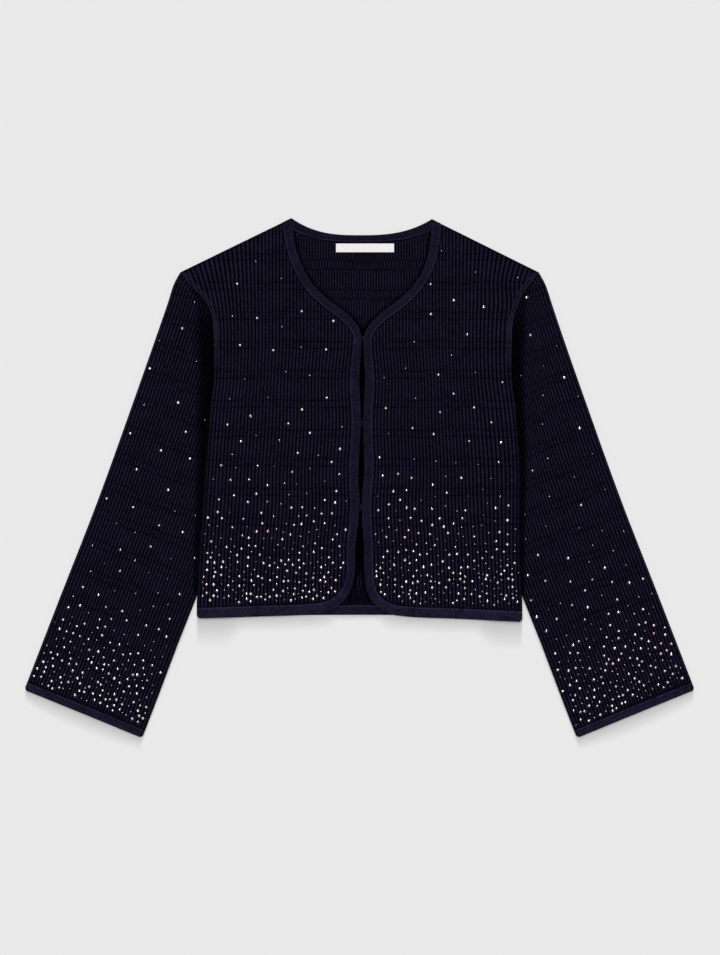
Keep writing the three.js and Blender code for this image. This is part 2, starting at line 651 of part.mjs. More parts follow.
// A flattened tube through rows of rings. Each ring runs over the upper layer from the outer fold to the
// inner one, and back under it.
function sleeveSolid(side, rows, ribs) {
  const solid = new Solid();
  const sign = side === "left" ? 1 : -1;
  const built = rows.map((row, at) => ({ ...sleeveRow(row), at }));
  const column = (face, spotAt) => built.map((row) => ringPoint(solid, row, spotAt(row.width), face));
  const ring = (face, upperCount, lowerCount, acrossAt, thickAt) => {
    const columns = [];
    for (let j = 0; j <= upperCount; j++)
      columns.push(
        column(face, (width) => {
          const across = acrossAt(j, width);
          return { upper: true, across, thick: thickAt(j, across, width), around: (0.5 * across) / width };
        }),
      );
    for (let j = 1; j <= lowerCount; j++)
      columns.push(
        column(face, (width) => {
          const share = j / (lowerCount + 1);
          return { upper: false, across: width * (1 - share), thick: 0, around: 0.5 + share / 2 };
        }),
      );
    return columns;
  };
  const outerCount = ribs ? SLEEVE_RIBS * 2 : PLAIN_POINTS;
  const ribbed = (j, across, width) => WALL + (j % 2 === 1 && across < width - RIB_END ? RIB_HEIGHT : 0);
  const plain = () => CLOTH + CUFF.extra;
  const outerFace = { inside: false, inset: 0, sign };
  const innerFace = { inside: true, inset: SLEEVE_FLOOR_WALL, sign };
  const outerAcross = (j, width) => upperAcross(j, width, ribs);
  const innerAcross = (j, width) => upperAcross(j, width, false);
  const outer = ring(outerFace, outerCount, LOWER_POINTS, outerAcross, ribs ? ribbed : plain);
  const inner = ring(innerFace, PLAIN_POINTS, LOWER_POINTS, innerAcross, () => 0);
  solid.tube(outer, inner);
  return solid;
}

const SLEEVE_ROWS = [0, 0.14, 0.28, 0.4, 0.52, 0.62, 0.72, 0.82, 0.92, 0.97, 1];
const sleeveRows = SLEEVE_ROWS.map((v) => ({ v, trim: CUFF.band + SEAM_GAP }));
const sleeve = (side) => sleeveSolid(side, sleeveRows, true);

// The cuff band is a short tube of the same ring, from the cuff line to the sleeve's end.
const cuffRows = [0, 0.15, 0.85, 1].map((share) => ({ v: 0, trim: CUFF.band * share }));
const cuffBand = (side) => sleeveSolid(side, cuffRows, false);

// A band's section lies across its edge: rounded at the open edge, square at the seam.
function bandSection(width, thick) {
  return [
    { across: 0, up: thick * 0.5 },
    { across: 0.9, up: thick },
    { across: width - 0.7, up: thick },
    { across: width, up: thick * 0.72 },
    { across: width, up: 0 },
    { across: 0.9, up: 0 },
  ];
}

function frontBand(side) {
  const sign = side === "left" ? 1 : -1;
  const solid = new Solid();
  solid.bar(
    bandStations[side].map((p) =>
      bandSection(p.band, BAND_THICK).map((q) => {
        const x = p.x + p.nx * q.across;
        const y = p.y + p.ny * q.across;
        return { x: sign * x, y, z: frontBase(side, x, y) + q.up };
      }),
    ),
  );
  return solid;
}

function neckBandBack() {
  const solid = new Solid();
  solid.bar(
    neckStations.map((p) =>
      bandSection(p.width, CLOTH).map((q) => ({ x: p.x + p.nx * q.across, y: p.y + p.ny * q.across, z: q.up })),
    ),
  );
  return solid;
}

function hemBandBack() {
  const solid = new Solid();
  const step = 5;
  const xs = [];
  for (let x = -HEM_HALF; x < -LIFT_X.from; x += step) xs.push(x);
  xs.push(-LIFT_X.from, -LIFT_X.from / 2, 0);
  const all = [...xs, ...xs.slice(0, -1).reverse().map((x) => -x)];
  const section = bandSection(BACK_HEM.band, CLOTH);
  solid.bar(
    all.map((x) => {
      const y = backHem(x);
      return section.map((q) => ({ x, y: y + q.across, z: lift(x, y) + q.up }));
    }),
  );
  return solid;
}

// Bent wire: a tube through a short list of places, measured from the fastening's own centre.
function wire(places, x, y, z) {
  const path = new THREE.CatmullRomCurve3(places.map((p) => new THREE.Vector3(x + p[0], y + p[1], z + p[2])));
  const section = new THREE.Shape();
  for (let i = 0; i < WIRE.sides; i++) {
    const angle = (i / WIRE.sides) * Math.PI * 2;
    const method = i === 0 ? "moveTo" : "lineTo";
    section[method](WIRE.radius * Math.cos(angle), WIRE.radius * Math.sin(angle));
  }
  return new THREE.ExtrudeGeometry(section, { steps: 10, bevelEnabled: false, extrudePath: path });
}

// The hook lies under the right band and bends over the eye's bar in the opening.
const HOOK_PATH = [
  [-8.6, 0, 0],
  [-5.0, 0, 0],
  [-2.2, 0, 0.1],
  [-1.15, 0, 0.85],
  [-0.2, 0, 1.25],
  [0.68, 0, 0.85],
  [0.86, 0, 0.1],
];
const EYE_PATH = [
  [8.0, 1.0, 0],
  [6.0, 2.6, 0],
  [2.4, 2.5, 0],
  [-0.1, 1.9, 0],
  [-0.3, 0, 0],
  [-0.1, -1.9, 0],
  [2.4, -2.5, 0],
  [6.0, -2.6, 0],
  [8.0, -1.0, 0],
];

// A woven label or tab: a thin slab on the ribs of the back, with slightly rounded corners.
function slab(size, z) {
  const corner = 0.6;
  const shape = new THREE.Shape();
  const left = size.x - size.width / 2;
  const right = size.x + size.width / 2;
  const low = size.top - size.height;
  shape.moveTo(left + corner, low);
  shape.lineTo(right - corner, low);
  shape.lineTo(right, low + corner);
  shape.lineTo(right, size.top - corner);
  shape.lineTo(right - corner, size.top);
  shape.lineTo(left + corner, size.top);
  shape.lineTo(left, size.top - corner);
  shape.lineTo(left, low + corner);
  shape.closePath();
  return new THREE.ExtrudeGeometry(shape, { depth: size.thick, bevelEnabled: false }).translate(0, 0, z);
}

const materials = {
  knit: new THREE.MeshStandardMaterial({ color: COLOUR.knit, roughness: 0.9, metalness: 0 }),
  band: new THREE.MeshStandardMaterial({ color: COLOUR.band, roughness: 0.85, metalness: 0 }),
  label: new THREE.MeshStandardMaterial({ color: COLOUR.label, roughness: 0.6, metalness: 0 }),
  tab: new THREE.MeshStandardMaterial({ color: COLOUR.tab, roughness: 0.6, metalness: 0 }),
  metal: new THREE.MeshStandardMaterial({ color: COLOUR.metal, roughness: 0.35, metalness: 1 }),
};

const cardigan = new THREE.Group();
function add(name, shape, material) {
  const geometry = shape instanceof Solid ? shape.geometry() : shape;
  const mesh = new THREE.Mesh(geometry, materials[material]);
  mesh.name = name;
  cardigan.add(mesh);
}

add("back_panel", backPanel(), "knit");
add("neck_band_back", neckBandBack(), "band");
add("hem_band_back", hemBandBack(), "band");
for (const side of ["left", "right"]) {
  add(`front_${side}`, frontPanel(side), "knit");
  add(`front_band_${side}`, frontBand(side), "band");
  add(`sleeve_${side}`, sleeve(side), "knit");
  add(`cuff_band_${side}`, cuffBand(side), "band");
}
for (const hook of HOOKS) {
  add(`hook_${hook.name}`, wire(HOOK_PATH, hook.x, hook.y, WIRE.z), "metal");
  add(`eye_${hook.name}`, wire(EYE_PATH, hook.x, hook.y, WIRE.z), "metal");
}
add("neck_label", slab(LABEL, CLOTH + SEAM_GAP), "label");
add("care_tab", slab(TAB, CLOTH + SEAM_GAP), "tab");

export default cardigan;
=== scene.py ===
import math

import bmesh
import bpy
import numpy as np
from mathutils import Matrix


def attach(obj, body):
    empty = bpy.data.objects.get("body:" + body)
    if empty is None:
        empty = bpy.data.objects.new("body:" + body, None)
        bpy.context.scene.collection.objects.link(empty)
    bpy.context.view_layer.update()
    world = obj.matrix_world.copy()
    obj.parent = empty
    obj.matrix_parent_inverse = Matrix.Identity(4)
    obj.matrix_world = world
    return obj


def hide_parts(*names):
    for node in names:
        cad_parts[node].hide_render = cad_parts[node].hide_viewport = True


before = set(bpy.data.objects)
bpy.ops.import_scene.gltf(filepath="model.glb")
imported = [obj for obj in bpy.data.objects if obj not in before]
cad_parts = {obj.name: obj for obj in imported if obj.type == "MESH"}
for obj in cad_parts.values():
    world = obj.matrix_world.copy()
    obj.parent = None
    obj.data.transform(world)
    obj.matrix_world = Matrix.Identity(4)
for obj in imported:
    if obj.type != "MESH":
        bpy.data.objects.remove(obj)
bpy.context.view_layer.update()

# A cropped rib-knit cardigan laid flat on its back with its fronts up. Sizes are in millimetres, and left and
# right are the wearer's. x runs across it towards the left sleeve, y from the hem to the neck, z up.
MM = 0.001
KNIT_LEVEL = 0.72  # of the lightest yarn colour, for the painted light on a rib's crest

# Camera and floor
CAMERA_HEIGHT = 8.0  # metres
CAMERA_PLACE = (0.0006, -0.0006)
VIEW_HEIGHT = 1.146  # metres of floor from the bottom to the top of the picture
SENSOR = 36.0
FLOOR_SIZE = 8.0
FLOOR_DROP = 0.0002

# Cloth
WALL = 1.4
RIB_HEIGHT = 0.8
RIB_PITCH = 4.08
RIB_SHARPNESS = 0.75  # below 1 the ribs are broad and the furrows narrow
CLOTH = WALL + RIB_HEIGHT
PLY_GAP = 0.4
SEAM_TUCK = 0.15  # how far a panel's edge runs into its neighbour's, so that no floor shows through a seam
FOLD_EDGE = 0.5
FOLD_RADIUS = 2.6
GROOVE = 0.5  # depth of the furrows on the side that lies on the floor
RIB_COLUMNS = 6  # points across a rib where it shows, and
HIDDEN_COLUMNS = 4  # where it doesn't

# The fabric's pairs of thin cross furrows
NIP_PERIOD = 35.25
NIP_GAP = 8.3
NIP_HALF_WIDTH = 0.65
NIP_DEPTH = 0.44
NIP_UNEVEN = 0.22  # share by which a cross furrow's depth comes and goes
NIP_BODY_AT = 232.8
NIP_BACK_AT = 224.4
NIP_BACK_GAP = 10.8
NIP_SLEEVE_AT = 27.0
NIP_ROWS = (-1.0, -0.4, 0.4, 1.0)
PLAIN_ROWS = 4  # between one pair and the next
COURSE_EASE = 10.0  # how far from a panel's end its courses are straight

# Body
SHOULDER_X = 214.2
SHOULDER_Y = 246.0
FRONT_RIBS = 40
BACK_RIBS = 105
BACK_SHOWN_FROM = 176.0  # above this height the inside of the back shows in the neck
NECK_DROP = 20.4
NECK_CURVE = 2.8
NECK_BAND_MIDDLE = 9.8
NECK_BAND_ENDS = 13.6
HEM_HALF = 195.0
BACK_HEM_Y = -165.4
BACK_HEM_DROP = 2.6
BACK_HEM_BAND = 13.0
HEM_CORNER = 4.5
BODY_LIFT = 5.4
LIFT_X = (138.0, 166.0)
LIFT_Y = (114.0, 58.0)
FRONT_LOFT = 2.4
OPENING_LOFT = 1.4
HEM_FADE = 45.0
SHOULDER_FADE = 42.0
SHOULDER_ROLL = 5.0
SHOULDER_SCALLOP = 1.4
CORNER_FROM = -118.0
UNDERARM_Y = 114.0
MID_HEIGHT = 60.0
FAN_HEIGHT = 165.0  # above this height the ribs beside the armhole lean out to the shoulder
FAN_GROWTH = 50.0
FAN_FROM_X = 105.0
FAN_LEAN = 4.4e-5
BACK_FAN_FROM = 0.6
RIDGE_FROM_Y = (120.0, 160.0)  # the armhole's seam stands up above these heights
RIDGES = ((0.9, 0.7, 0.85), (4.1, 0.8, 0.8))  # each one's distance from the edge, half width and lightness, the relief that raises it and paints light on it
RIDGE_HEIGHT = 0.5
STITCH_PITCH = 3.0
STITCH_SIZE = (1.15, 0.52, 0.4)  # half length, half width and half thickness
STITCH_TURN = 0.45  # how far a stitch turns across the seam, in radians
STITCHES_FROM_Y = 132.0  # above this height, and
STITCHES_FULL = 45.0  # of their full size so much further up
LEFT_ARMHOLE_OUT = 8.5  # how much further out the left armhole lies than the right one
LEFT_ARMHOLE = (181.0, 30.0)
BAND_THICK = 2.6
BAND_END_TURN = 16.0
FRONT_BAND_TONES = (1.2, 0.78)  # how light the yarn looks along the hem, and up the front edge
NECK_BAND_TONE = 0.66
BACK_HEM_TONE = 0.97

# Half width of the body and height: the side from the hem to the underarm, then the armhole to the shoulder
SIDE_EDGE = [
    (195.0, -180.0), (195.0, -148.0), (192.4, -90.0), (187.0, -19.0), (184.2, 20.0), (181.6, 56.0),
    (179.0, 84.0), (177.2, 99.0), (175.4, 114.0), (174.6, 144.0), (175.2, 175.0), (176.8, 192.0),
    (180.4, 203.0), (188.0, 215.0), (198.4, 226.0), (211.4, 241.0), (214.2, 246.0),
]

# The open edge of each front, from the neck point round the hem to the side seam: x towards its own sleeve,
# y, and the width of the knitted band
OPENING = {
    "right": [
        (81.6, 310.6, 13.2), (79.0, 290.0, 13.0), (72.2, 262.0, 12.4), (57.0, 232.8, 12.0),
        (36.6, 212.4, 12.0), (15.0, 196.2, 12.0), (1.4, 180.0, 11.4), (-2.4, 166.0, 11.4),
        (0.0, 116.4, 13.2), (-1.9, 64.8, 13.0), (1.1, 6.0, 13.2), (-0.2, -36.0, 13.2),
        (4.6, -84.0, 12.2), (5.8, -120.0, 12.0), (12.6, -140.5, 12.2), (29.0, -157.0, 12.8),
        (52.0, -164.0, 13.6), (120.0, -167.4, 14.0), (195.0, -169.6, 14.0),
    ],
    "left": [
        (86.6, 309.4, 13.2), (85.3, 288.0, 13.0), (79.3, 256.7, 12.4), (66.6, 232.6, 12.0),
        (48.0, 213.5, 12.0), (25.0, 196.2, 12.0), (10.2, 180.0, 11.4), (4.8, 165.0, 11.4),
        (6.4, 116.4, 13.2), (4.2, 64.8, 13.0), (5.4, 10.0, 13.2), (2.5, -36.0, 13.2),
        (5.0, -84.0, 12.8), (6.0, -120.0, 12.6), (10.4, -141.5, 12.8), (24.0, -158.0, 13.0),
        (46.0, -166.2, 13.2), (120.0, -170.2, 13.6), (195.0, -173.8, 14.0),
    ],
}
SIDES = {"left": 1, "right": -1}

# Sleeves: the outer fold from the shoulder to the cuff, and the inner fold from the body to the cuff
SLEEVE_OUTER = [
    (214.8, 246.0), (222.6, 231.6), (230.6, 206.8), (270.6, 92.4), (313.8, -27.6), (360.6, -147.6),
    (402.0, -254.8),
]
SLEEVE_INNER = [
    (175.6, 98.0), (177.4, 84.0), (179.4, 56.0), (177.0, 20.0), (173.6, -27.6), (177.0, -75.6),
    (187.0, -117.6), (197.0, -147.6), (216.6, -197.0), (243.8, -269.0), (258.6, -307.4),
]
CUFF_BAND = 11.4
CUFF_BOW = 0.3
CUFF_REACH = 0.6
CUFF_CORNER = 4.0
CUFF_SLANT = 3.0
CUFF_EXTRA = 0.3
SLEEVE_FLOOR_WALL = 1.6
SLEEVE_LOFT = 2.3
UNDER_BODY = (130, 400)  # ways along between which the body lies on a sleeve, and
UNDER_BODY_WIDTH = 26  # how much of its width the body then presses flat
SLEEVE_RIBS = 37
RIB_END = 2.4
SEAM_RISE = 0.6
SEAM_REACH = 14.0
# Soft troughs down the sleeve: across and along where each starts and ends, half width and depth
SLEEVE_CREASES = [
    (46, 44, 84, 215, 8, 0.85),
    (66, 95, 112, 290, 6, 0.5),
    (22, 30, 40, 150, 7, 0.3),
]
# Height and how far the body's shadow reaches over the sleeve beside it
BODY_SHADOW = [
    (-165, 3.0), (-100, 8.0), (32, 15.0), (92, 20.0), (130, 24.0), (160, 27.0), (190, 25.0), (205, 18.0),
    (222, 8.0), (240, 2.0),
]
SHADOW_SHARE = {"left": 0.78, "right": 1.0}
# Height and how light the shadow is where it is deepest
SHADOW_LEVEL = [(-165, 0.25), (40, 0.12), (165, 0.12), (188, 0.22), (202, 0.38), (225, 0.45)]
# Height and how far a front's edge shades the back: narrowly in the neck, and all across the slit
SLIT_SHADOW = [(-158, 2.2), (-132, 4.0), (-112, 10.0), (172, 11.0), (190, 5.0), (210, 4.4), (310, 4.4)]

# Fastenings and labels
HOOKS = {"top": (3.6, 166.0), "middle": (3.1, 64.8), "bottom": (1.35, -36.0)}
HOOK_PATH = [
    (-8.6, 0, 0), (-5.0, 0, 0), (-2.2, 0, 0.1), (-1.15, 0, 0.85), (-0.2, 0, 1.25), (0.68, 0, 0.85),
    (0.86, 0, 0.1),
]
EYE_PATH = [
    (8.0, 1.0, 0), (6.0, 2.6, 0), (2.4, 2.5, 0), (-0.1, 1.9, 0), (-0.3, 0, 0), (-0.1, -1.9, 0),
    (2.4, -2.5, 0), (6.0, -2.6, 0), (8.0, -1.0, 0),
]
WIRE_RADIUS = 0.4
WIRE_Z = 3.05
LABEL = {"x": 6.6, "top": 280.0, "width": 69.6, "height": 10.4, "thick": 0.5}
TAB = {"x": 6.0, "top": 269.4, "width": 27.6, "height": 13.2, "thick": 0.35}

# Stones: radius and share of each kind, and the mean spacing at each height of the body and way down a sleeve
STONE_SIZES = {"large": 2.1, "small": 1.25}
STONE_ON_RIB = 0.55  # share of the way that a stone is drawn to the nearest rib's crest
STONE_SPACING_BODY = [
    (-160, 6.1), (-110, 7.6), (-76, 9.7), (-40, 13.2), (-12, 17.4), (32, 26), (100, 36), (300, 40),
]
STONE_SPACING_SLEEVE = [(0, 42.0), (230, 36.0), (330, 26.0), (400, 16.5), (440, 10.0), (480, 7.8), (560, 5.9)]
STONE_SEED = 11
LARGE_SHARE = 0.53
STONE_ROOM = (0.68, 1.15)  # least and most of the mean spacing that a stone keeps
STONE_TRIES = 26000
STONE_MARGIN = 2.2  # kept clear beside a band
STONE_FIELD_BODY = ((0, -160), (212, 305))  # corners of the field that holds each front's
STONE_FIELD_SLEEVE_WIDTH = 160

# Light that the lamps lay on the floor, in shares, and each low lamp's elevation and spread in degrees
LIGHT = 0.90 * math.pi
OVERHEAD_SHARE = 0.64
LOW_SHARE = 0.36
LOW_LAMPS = ((59, 16), (42, 13), (32, 9), (26, 6), (21, 5), (18, 4))
WORLD_LIGHT = 0.12


def ease(v):
    """3c² - 2c³, where c is v held between 0 and 1."""
    c = np.clip(v, 0.0, 1.0)
    return c * c * (3 - 2 * c)


def mix(a, b, share):
    """a + (b - a) share."""
    return a + (b - a) * share


def read_off(table, place):
    """The value beside each place in a table of places and values, straight between its rows."""
    return np.interp(place, *np.array(table, float).T)


def running(steps):
    """The sum of the steps before each one, and of all."""
    return np.concatenate(([0], np.cumsum(steps)))


def round_edge(distance, radius):
    """Height of a quarter circle over the distance from its foot, from 0 to 1."""
    return np.sqrt(1 - (1 - np.clip(distance / radius, 0, 1)) ** 2)


def last_inside(near, far, inside):
    """The last value on the way from near, which is inside, to far, found by halving whole arrays."""
    near, far = np.broadcast_arrays(np.asarray(near, float), np.asarray(far, float))
    near, far = near.copy(), far.copy()
    for _ in range(40):
        middle = (near + far) / 2
        good = inside(middle)
        near = np.where(good, middle, near)
        far = np.where(good, far, middle)
    return near


def cubic(rows, slope, span, at):
    """Points at ways along a curve of cubic pieces between rows. span is each piece's length, and a piece is
    mix(a, b, 3t² - 2t³) plus the two slopes' terms."""
    along = running(span)
    i = np.clip(np.searchsorted(along, at, side="right") - 1, 0, len(rows) - 2)
    t = ((at - along[i]) / span[i])[:, None]
    bend = slope[i] * (t**3 - 2 * t**2 + t) + slope[i + 1] * (t**3 - t**2)
    return mix(rows[i], rows[i + 1], 3 * t**2 - 2 * t**3) + bend * span[i][:, None]


def curve_through(rows, step):
    """A curve of cubic pieces through the rows, sampled about every step. At a row the slope is the rise
    between its neighbours over the way between them."""
    rows = np.array(rows, float)
    span = np.hypot(*np.diff(rows[:, :2], axis=0).T)
    along = running(span)
    before = np.maximum(np.arange(len(rows)) - 1, 0)
    after = np.minimum(np.arange(len(rows)) + 1, len(rows) - 1)
    slope = (rows[after] - rows[before]) / (along[after] - along[before])[:, None]
    return cubic(rows, slope, span, np.linspace(0, along[-1], int(along[-1] / step) + 2))


def directions(x, y):
    """The way along a line of points, and its unit direction at each."""
    dx, dy = np.gradient(x), np.gradient(y)
    size = np.hypot(dx, dy)
    return running(np.hypot(np.diff(x), np.diff(y))), dx / size, dy / size


def rib_shape(phase):
    """|sin(pi phase)| to a power below 1: 0 in each furrow and 1 on each rib."""
    return np.abs(np.sin(np.pi * phase)) ** RIB_SHARPNESS


def nips(course, first, gap=NIP_GAP):
    """Depth of the cross furrows at a course: a bell at each line of a pair, repeated down the cloth."""
    from_upper = (first - course + NIP_PERIOD / 2) % NIP_PERIOD - NIP_PERIOD / 2
    from_lower = (first - gap - course + NIP_PERIOD / 2) % NIP_PERIOD - NIP_PERIOD / 2
    return sum(np.exp(-((d / NIP_HALF_WIDTH) ** 2)) for d in (from_upper, from_lower))


def furrowed(rib, across, course, first, gap=NIP_GAP):
    """The ribs less the cross furrows, which are a little uneven across the cloth."""
    uneven = 1 - NIP_UNEVEN * (1 + np.sin(across / 19 + course / 5.3))
    return rib * (1 - NIP_DEPTH * uneven * np.clip(nips(course, first, gap), 0, 1))


def between_pair(course, first, gap):
    """1 between the two lines of a pair, 0 outside them, with a short ramp on each line."""
    below = (first - course) % NIP_PERIOD
    return ease(below / 0.8 + 0.5) * ease((gap - below) / 0.8 + 0.5)


def course_rows(first, low, high, gap=NIP_GAP):
    """Rows of points for the cloth from low to high: four on each cross furrow, one between a pair, and
    evenly spaced ones to the next pair."""
    rest = NIP_PERIOD - gap - 2
    offsets = [*NIP_ROWS, -gap / 2, *(r - gap for r in NIP_ROWS)]
    offsets += [-gap - 1 - rest * (k + 1) / (PLAIN_ROWS + 1) for k in range(PLAIN_ROWS)]
    counts = np.arange(math.floor((first - high) / NIP_PERIOD) - 1, math.ceil((first - low) / NIP_PERIOD) + 1)
    rows = np.sort((first - counts[:, None] * NIP_PERIOD + np.array(offsets)).ravel())
    return np.concatenate(([low], rows[(rows > low + 0.3) & (rows < high - 0.3)], [high]))


def off_ends(course, low, high):
    """0 at both ends of a panel, and 1 from a little way in."""
    return ease((course - low) / COURSE_EASE) * ease((high - course) / COURSE_EASE)


def waviness(across, along):
    """How far a course strays along the cloth: two slow waves across it."""
    return 0.7 * np.sin(across / 17 + along / 60) + 0.45 * np.sin(across / 7.3 + 1)


class Piece:
    """Gathers grids of points and the faces between them, then makes one closed mesh of them."""

    def __init__(self):
        self.points = []
        self.maps = []
        self.relief = []
        self.shade = []
        self.faces = []
        self.count = 0

    def add(self, x, y, z, u, v, relief, shade=1.0):
        """Adds points, given in millimetres as arrays of one shape, and returns their numbers in that shape.
        relief is 1 on a rib and 0 in a furrow, and the knit's colour paints light on the ribs and shade in
        the furrows from it. shade is painted shade, 0 where the cloth over it keeps the light off."""
        x, y, z, u, v, relief, shade = np.broadcast_arrays(x, y, z, u, v, relief, shade)
        numbers = np.arange(x.size).reshape(x.shape) + self.count
        self.points.append(np.stack([x, y, z], -1).reshape(-1, 3))
        self.maps.append(np.stack([u, v], -1).reshape(-1, 2))
        self.relief.append(relief.ravel())
        self.shade.append(shade.ravel())
        self.count += x.size
        return numbers

    def fill(self, numbers, ring=False):
        """Faces between each column of a grid and the next, and from the last back to the first on a ring."""
        if ring:
            numbers = np.vstack([numbers, numbers[:1]])
        corners = [numbers[:-1, :-1], numbers[1:, :-1], numbers[1:, 1:], numbers[:-1, 1:]]
        self.faces.append(np.stack(corners, -1).reshape(-1, 4))

    def join(self, line_a, line_b, at_a, at_b):
        """Triangles between two lines of points, always taking the nearer next step along either."""
        steps = np.concatenate([at_a[1:], at_b[1:]])
        on_a = np.arange(len(steps)) < len(at_a) - 1
        order = np.argsort(steps, kind="stable")
        on_a = on_a[order]
        i = np.cumsum(on_a) - on_a
        j = np.cumsum(~on_a) - ~on_a
        third = np.where(
            on_a, line_a[np.minimum(i + 1, len(line_a) - 1)], line_b[np.minimum(j + 1, len(line_b) - 1)]
        )
        self.faces.append(np.stack([line_a[i], line_b[j], third, third], -1))

    def build(self, name, material, smooth=True):
        """Drops the faces that have shrunk to a line and the points that no face uses, and makes the
        object."""
        faces = np.concatenate(self.faces)
        repeated = faces == np.roll(faces, -1, axis=1)
        quads = faces[repeated.sum(1) == 0]
        bent = repeated.sum(1) == 1
        triangles = faces[bent][~repeated[bent]].reshape(-1, 3)
        used, corners = np.unique(np.concatenate([quads.ravel(), triangles.ravel()]), return_inverse=True)
        sizes = np.concatenate([np.full(len(quads), 4), np.full(len(triangles), 3)])
        points = np.concatenate(self.points)[used]
        points[:, 0] = lie(points[:, 0], points[:, 1])
        maps = np.concatenate(self.maps)[used] * MM
        mesh = mesh_of(name, points * MM, corners.ravel(), sizes)
        mesh.polygons.foreach_set("use_smooth", np.full(len(sizes), smooth))
        mesh.uv_layers.new(name="cloth").data.foreach_set("uv", maps[corners.ravel()].ravel())
        # relief paints light and shade into the knit's colour, and shade paints shade down to black
        for attribute, values in (("relief", self.relief), ("shade", self.shade)):
            values = np.concatenate(values)[used].astype(np.float32)
            mesh.attributes.new(attribute, "FLOAT", "POINT").data.foreach_set("value", values)
        return finished(mesh, material)


def mesh_of(name, points, corners, sizes):
    """A mesh from its points, the numbers of the faces' corners one after another, and each face's count."""
    mesh = bpy.data.meshes.new(name)
    mesh.vertices.add(len(points))
    mesh.vertices.foreach_set("co", points.ravel())
    mesh.loops.add(len(corners))
    mesh.loops.foreach_set("vertex_index", corners)
    mesh.polygons.add(len(sizes))
    mesh.polygons.foreach_set("loop_start", running(sizes)[:-1])
    return mesh


def finished(mesh, material):
    """Turns every face of a closed mesh outwards and makes the object."""
    mesh.update(calc_edges=True)
    work = bmesh.new()
    work.from_mesh(mesh)
    bmesh.ops.recalc_face_normals(work, faces=work.faces)
    work.to_mesh(mesh)
    work.free()
    mesh.materials.append(material)
    return shown(mesh.name, mesh)


def shown(name, data):
    """Adds an object to the scene."""
    thing = bpy.data.objects.new(name, data)
    bpy.context.scene.collection.objects.link(thing)
    return thing


def clipped(numbers, rows, low, high):
    """Numbers of a grid's points whose rows are held between low and high, with the rows beyond folded into
    the first and last ones that are kept."""
    first = np.searchsorted(rows, low.ravel(), side="right") - 1
    last = np.searchsorted(rows, high.ravel(), side="left")
    kept = np.clip(np.arange(len(rows))[None, :], first[:, None], last[:, None])
    return np.take_along_axis(numbers, np.clip(kept, 0, len(rows) - 1), axis=1)


# The body's side edge, and how high the body lies over the sleeve under it
side_half, side_y = curve_through(SIDE_EDGE, 1.0).T


def half_width(y):
    """Half width of the body at a height, from the side edge's curve."""
    return np.interp(y, side_y, side_half)


def side_guide(y):
    """The side edge that ribs keep to: the edge itself, and straight up above the fan's height."""
    return half_width(np.minimum(y, FAN_HEIGHT))


def fan_reach(y):
    """How long the fan has been opening at a height: a parabola that goes over into a straight line."""
    up = np.maximum(0, y - FAN_HEIGHT)
    return np.where(up < FAN_GROWTH, up**2 / (2 * FAN_GROWTH), up - FAN_GROWTH / 2)


def fanned(x, y, turn=1):
    """x after the fan: beyond its inner line, u grows to u / (1 - lean u reach), which is the path whose
    slope is lean u². A turn of -1 undoes it."""
    u = np.maximum(0, x - FAN_FROM_X)
    return np.where(x > FAN_FROM_X, FAN_FROM_X + u / (1 - turn * FAN_LEAN * u * fan_reach(y)), x)


def side_rounding(x, y):
    """The quarter circle of the body's folded side, which ends at the underarm."""
    beside = mix(FOLD_RADIUS * 4, half_width(y) - np.abs(x), ease((UNDERARM_Y - y) / 4))
    return round_edge(beside, FOLD_RADIUS)


def seam_ridges(x, y):
    """The raised seam of the armhole: a bell across the distance from the body's edge for each ridge."""
    slope = np.interp(y, side_y, np.gradient(side_half) / np.gradient(side_y))
    distance = (half_width(y) - x) / np.hypot(1, slope)
    strength = ease((y - RIDGE_FROM_Y[0]) / (RIDGE_FROM_Y[1] - RIDGE_FROM_Y[0]))
    return [np.exp(-(((distance - at) / half) ** 2)) * strength for at, half, _ in RIDGES]


def lie(x, y):
    """x of a point as the cardigan lies: around the left armhole it is moved out by a bell across the cloth,
    from the shoulder down to the waist."""
    down = ease((240 - y) / 40) * ease((y + 110) / 140)
    return x + LEFT_ARMHOLE_OUT * down * np.exp(-(((x - LEFT_ARMHOLE[0]) / LEFT_ARMHOLE[1]) ** 2))


def distance_to(x, y, line_x, line_y):
    """Distance of each point from the nearest place of a line."""
    nearest = np.full(x.shape, np.inf)
    for at_x, at_y in zip(line_x[::3], line_y[::3]):
        nearest = np.minimum(nearest, np.hypot(x - at_x, y - at_y))
    return nearest


def lift(x, y):
    """BODY_LIFT times a smooth step across the body's side and another down from the underarm."""
    across = ease((np.abs(x) - LIFT_X[0]) / (LIFT_X[1] - LIFT_X[0]))
    return BODY_LIFT * across * ease((LIFT_Y[0] - y) / (LIFT_Y[0] - LIFT_Y[1]))


def shoulder_line(side, x):
    """Height of the straight line from the shoulder to the neck point."""
    neck_x, neck_y, _ = OPENING[side][0]
    return SHOULDER_Y + (SHOULDER_X - x) * (neck_y - SHOULDER_Y) / (SHOULDER_X - neck_x)


def front_base(side, x, y):
    """Height of a front's inside: it lies on the back and bellies up by a sine of the way across plus the
    square of it, less towards the hem and the shoulder."""
    across = np.clip(1 - x / half_width(y), 0, 1)
    belly = FRONT_LOFT * 0.6 * np.abs(np.sin(np.pi * across)) ** 0.8 + OPENING_LOFT * across**2
    hem = 0.3 + 0.7 * ease((y + 170) / HEM_FADE)
    shoulder = ease((shoulder_line(side, x) - y) / SHOULDER_FADE)
    return lift(x, y) + CLOTH + PLY_GAP + belly * hem * shoulder


def corner_rise(x):
    """How far the hem's lower edge rises at the sides: a quarter circle."""
    past = np.clip(np.abs(x) - (HEM_HALF - HEM_CORNER), 0, HEM_CORNER * 0.98)
    return HEM_CORNER - np.sqrt(HEM_CORNER**2 - past**2)


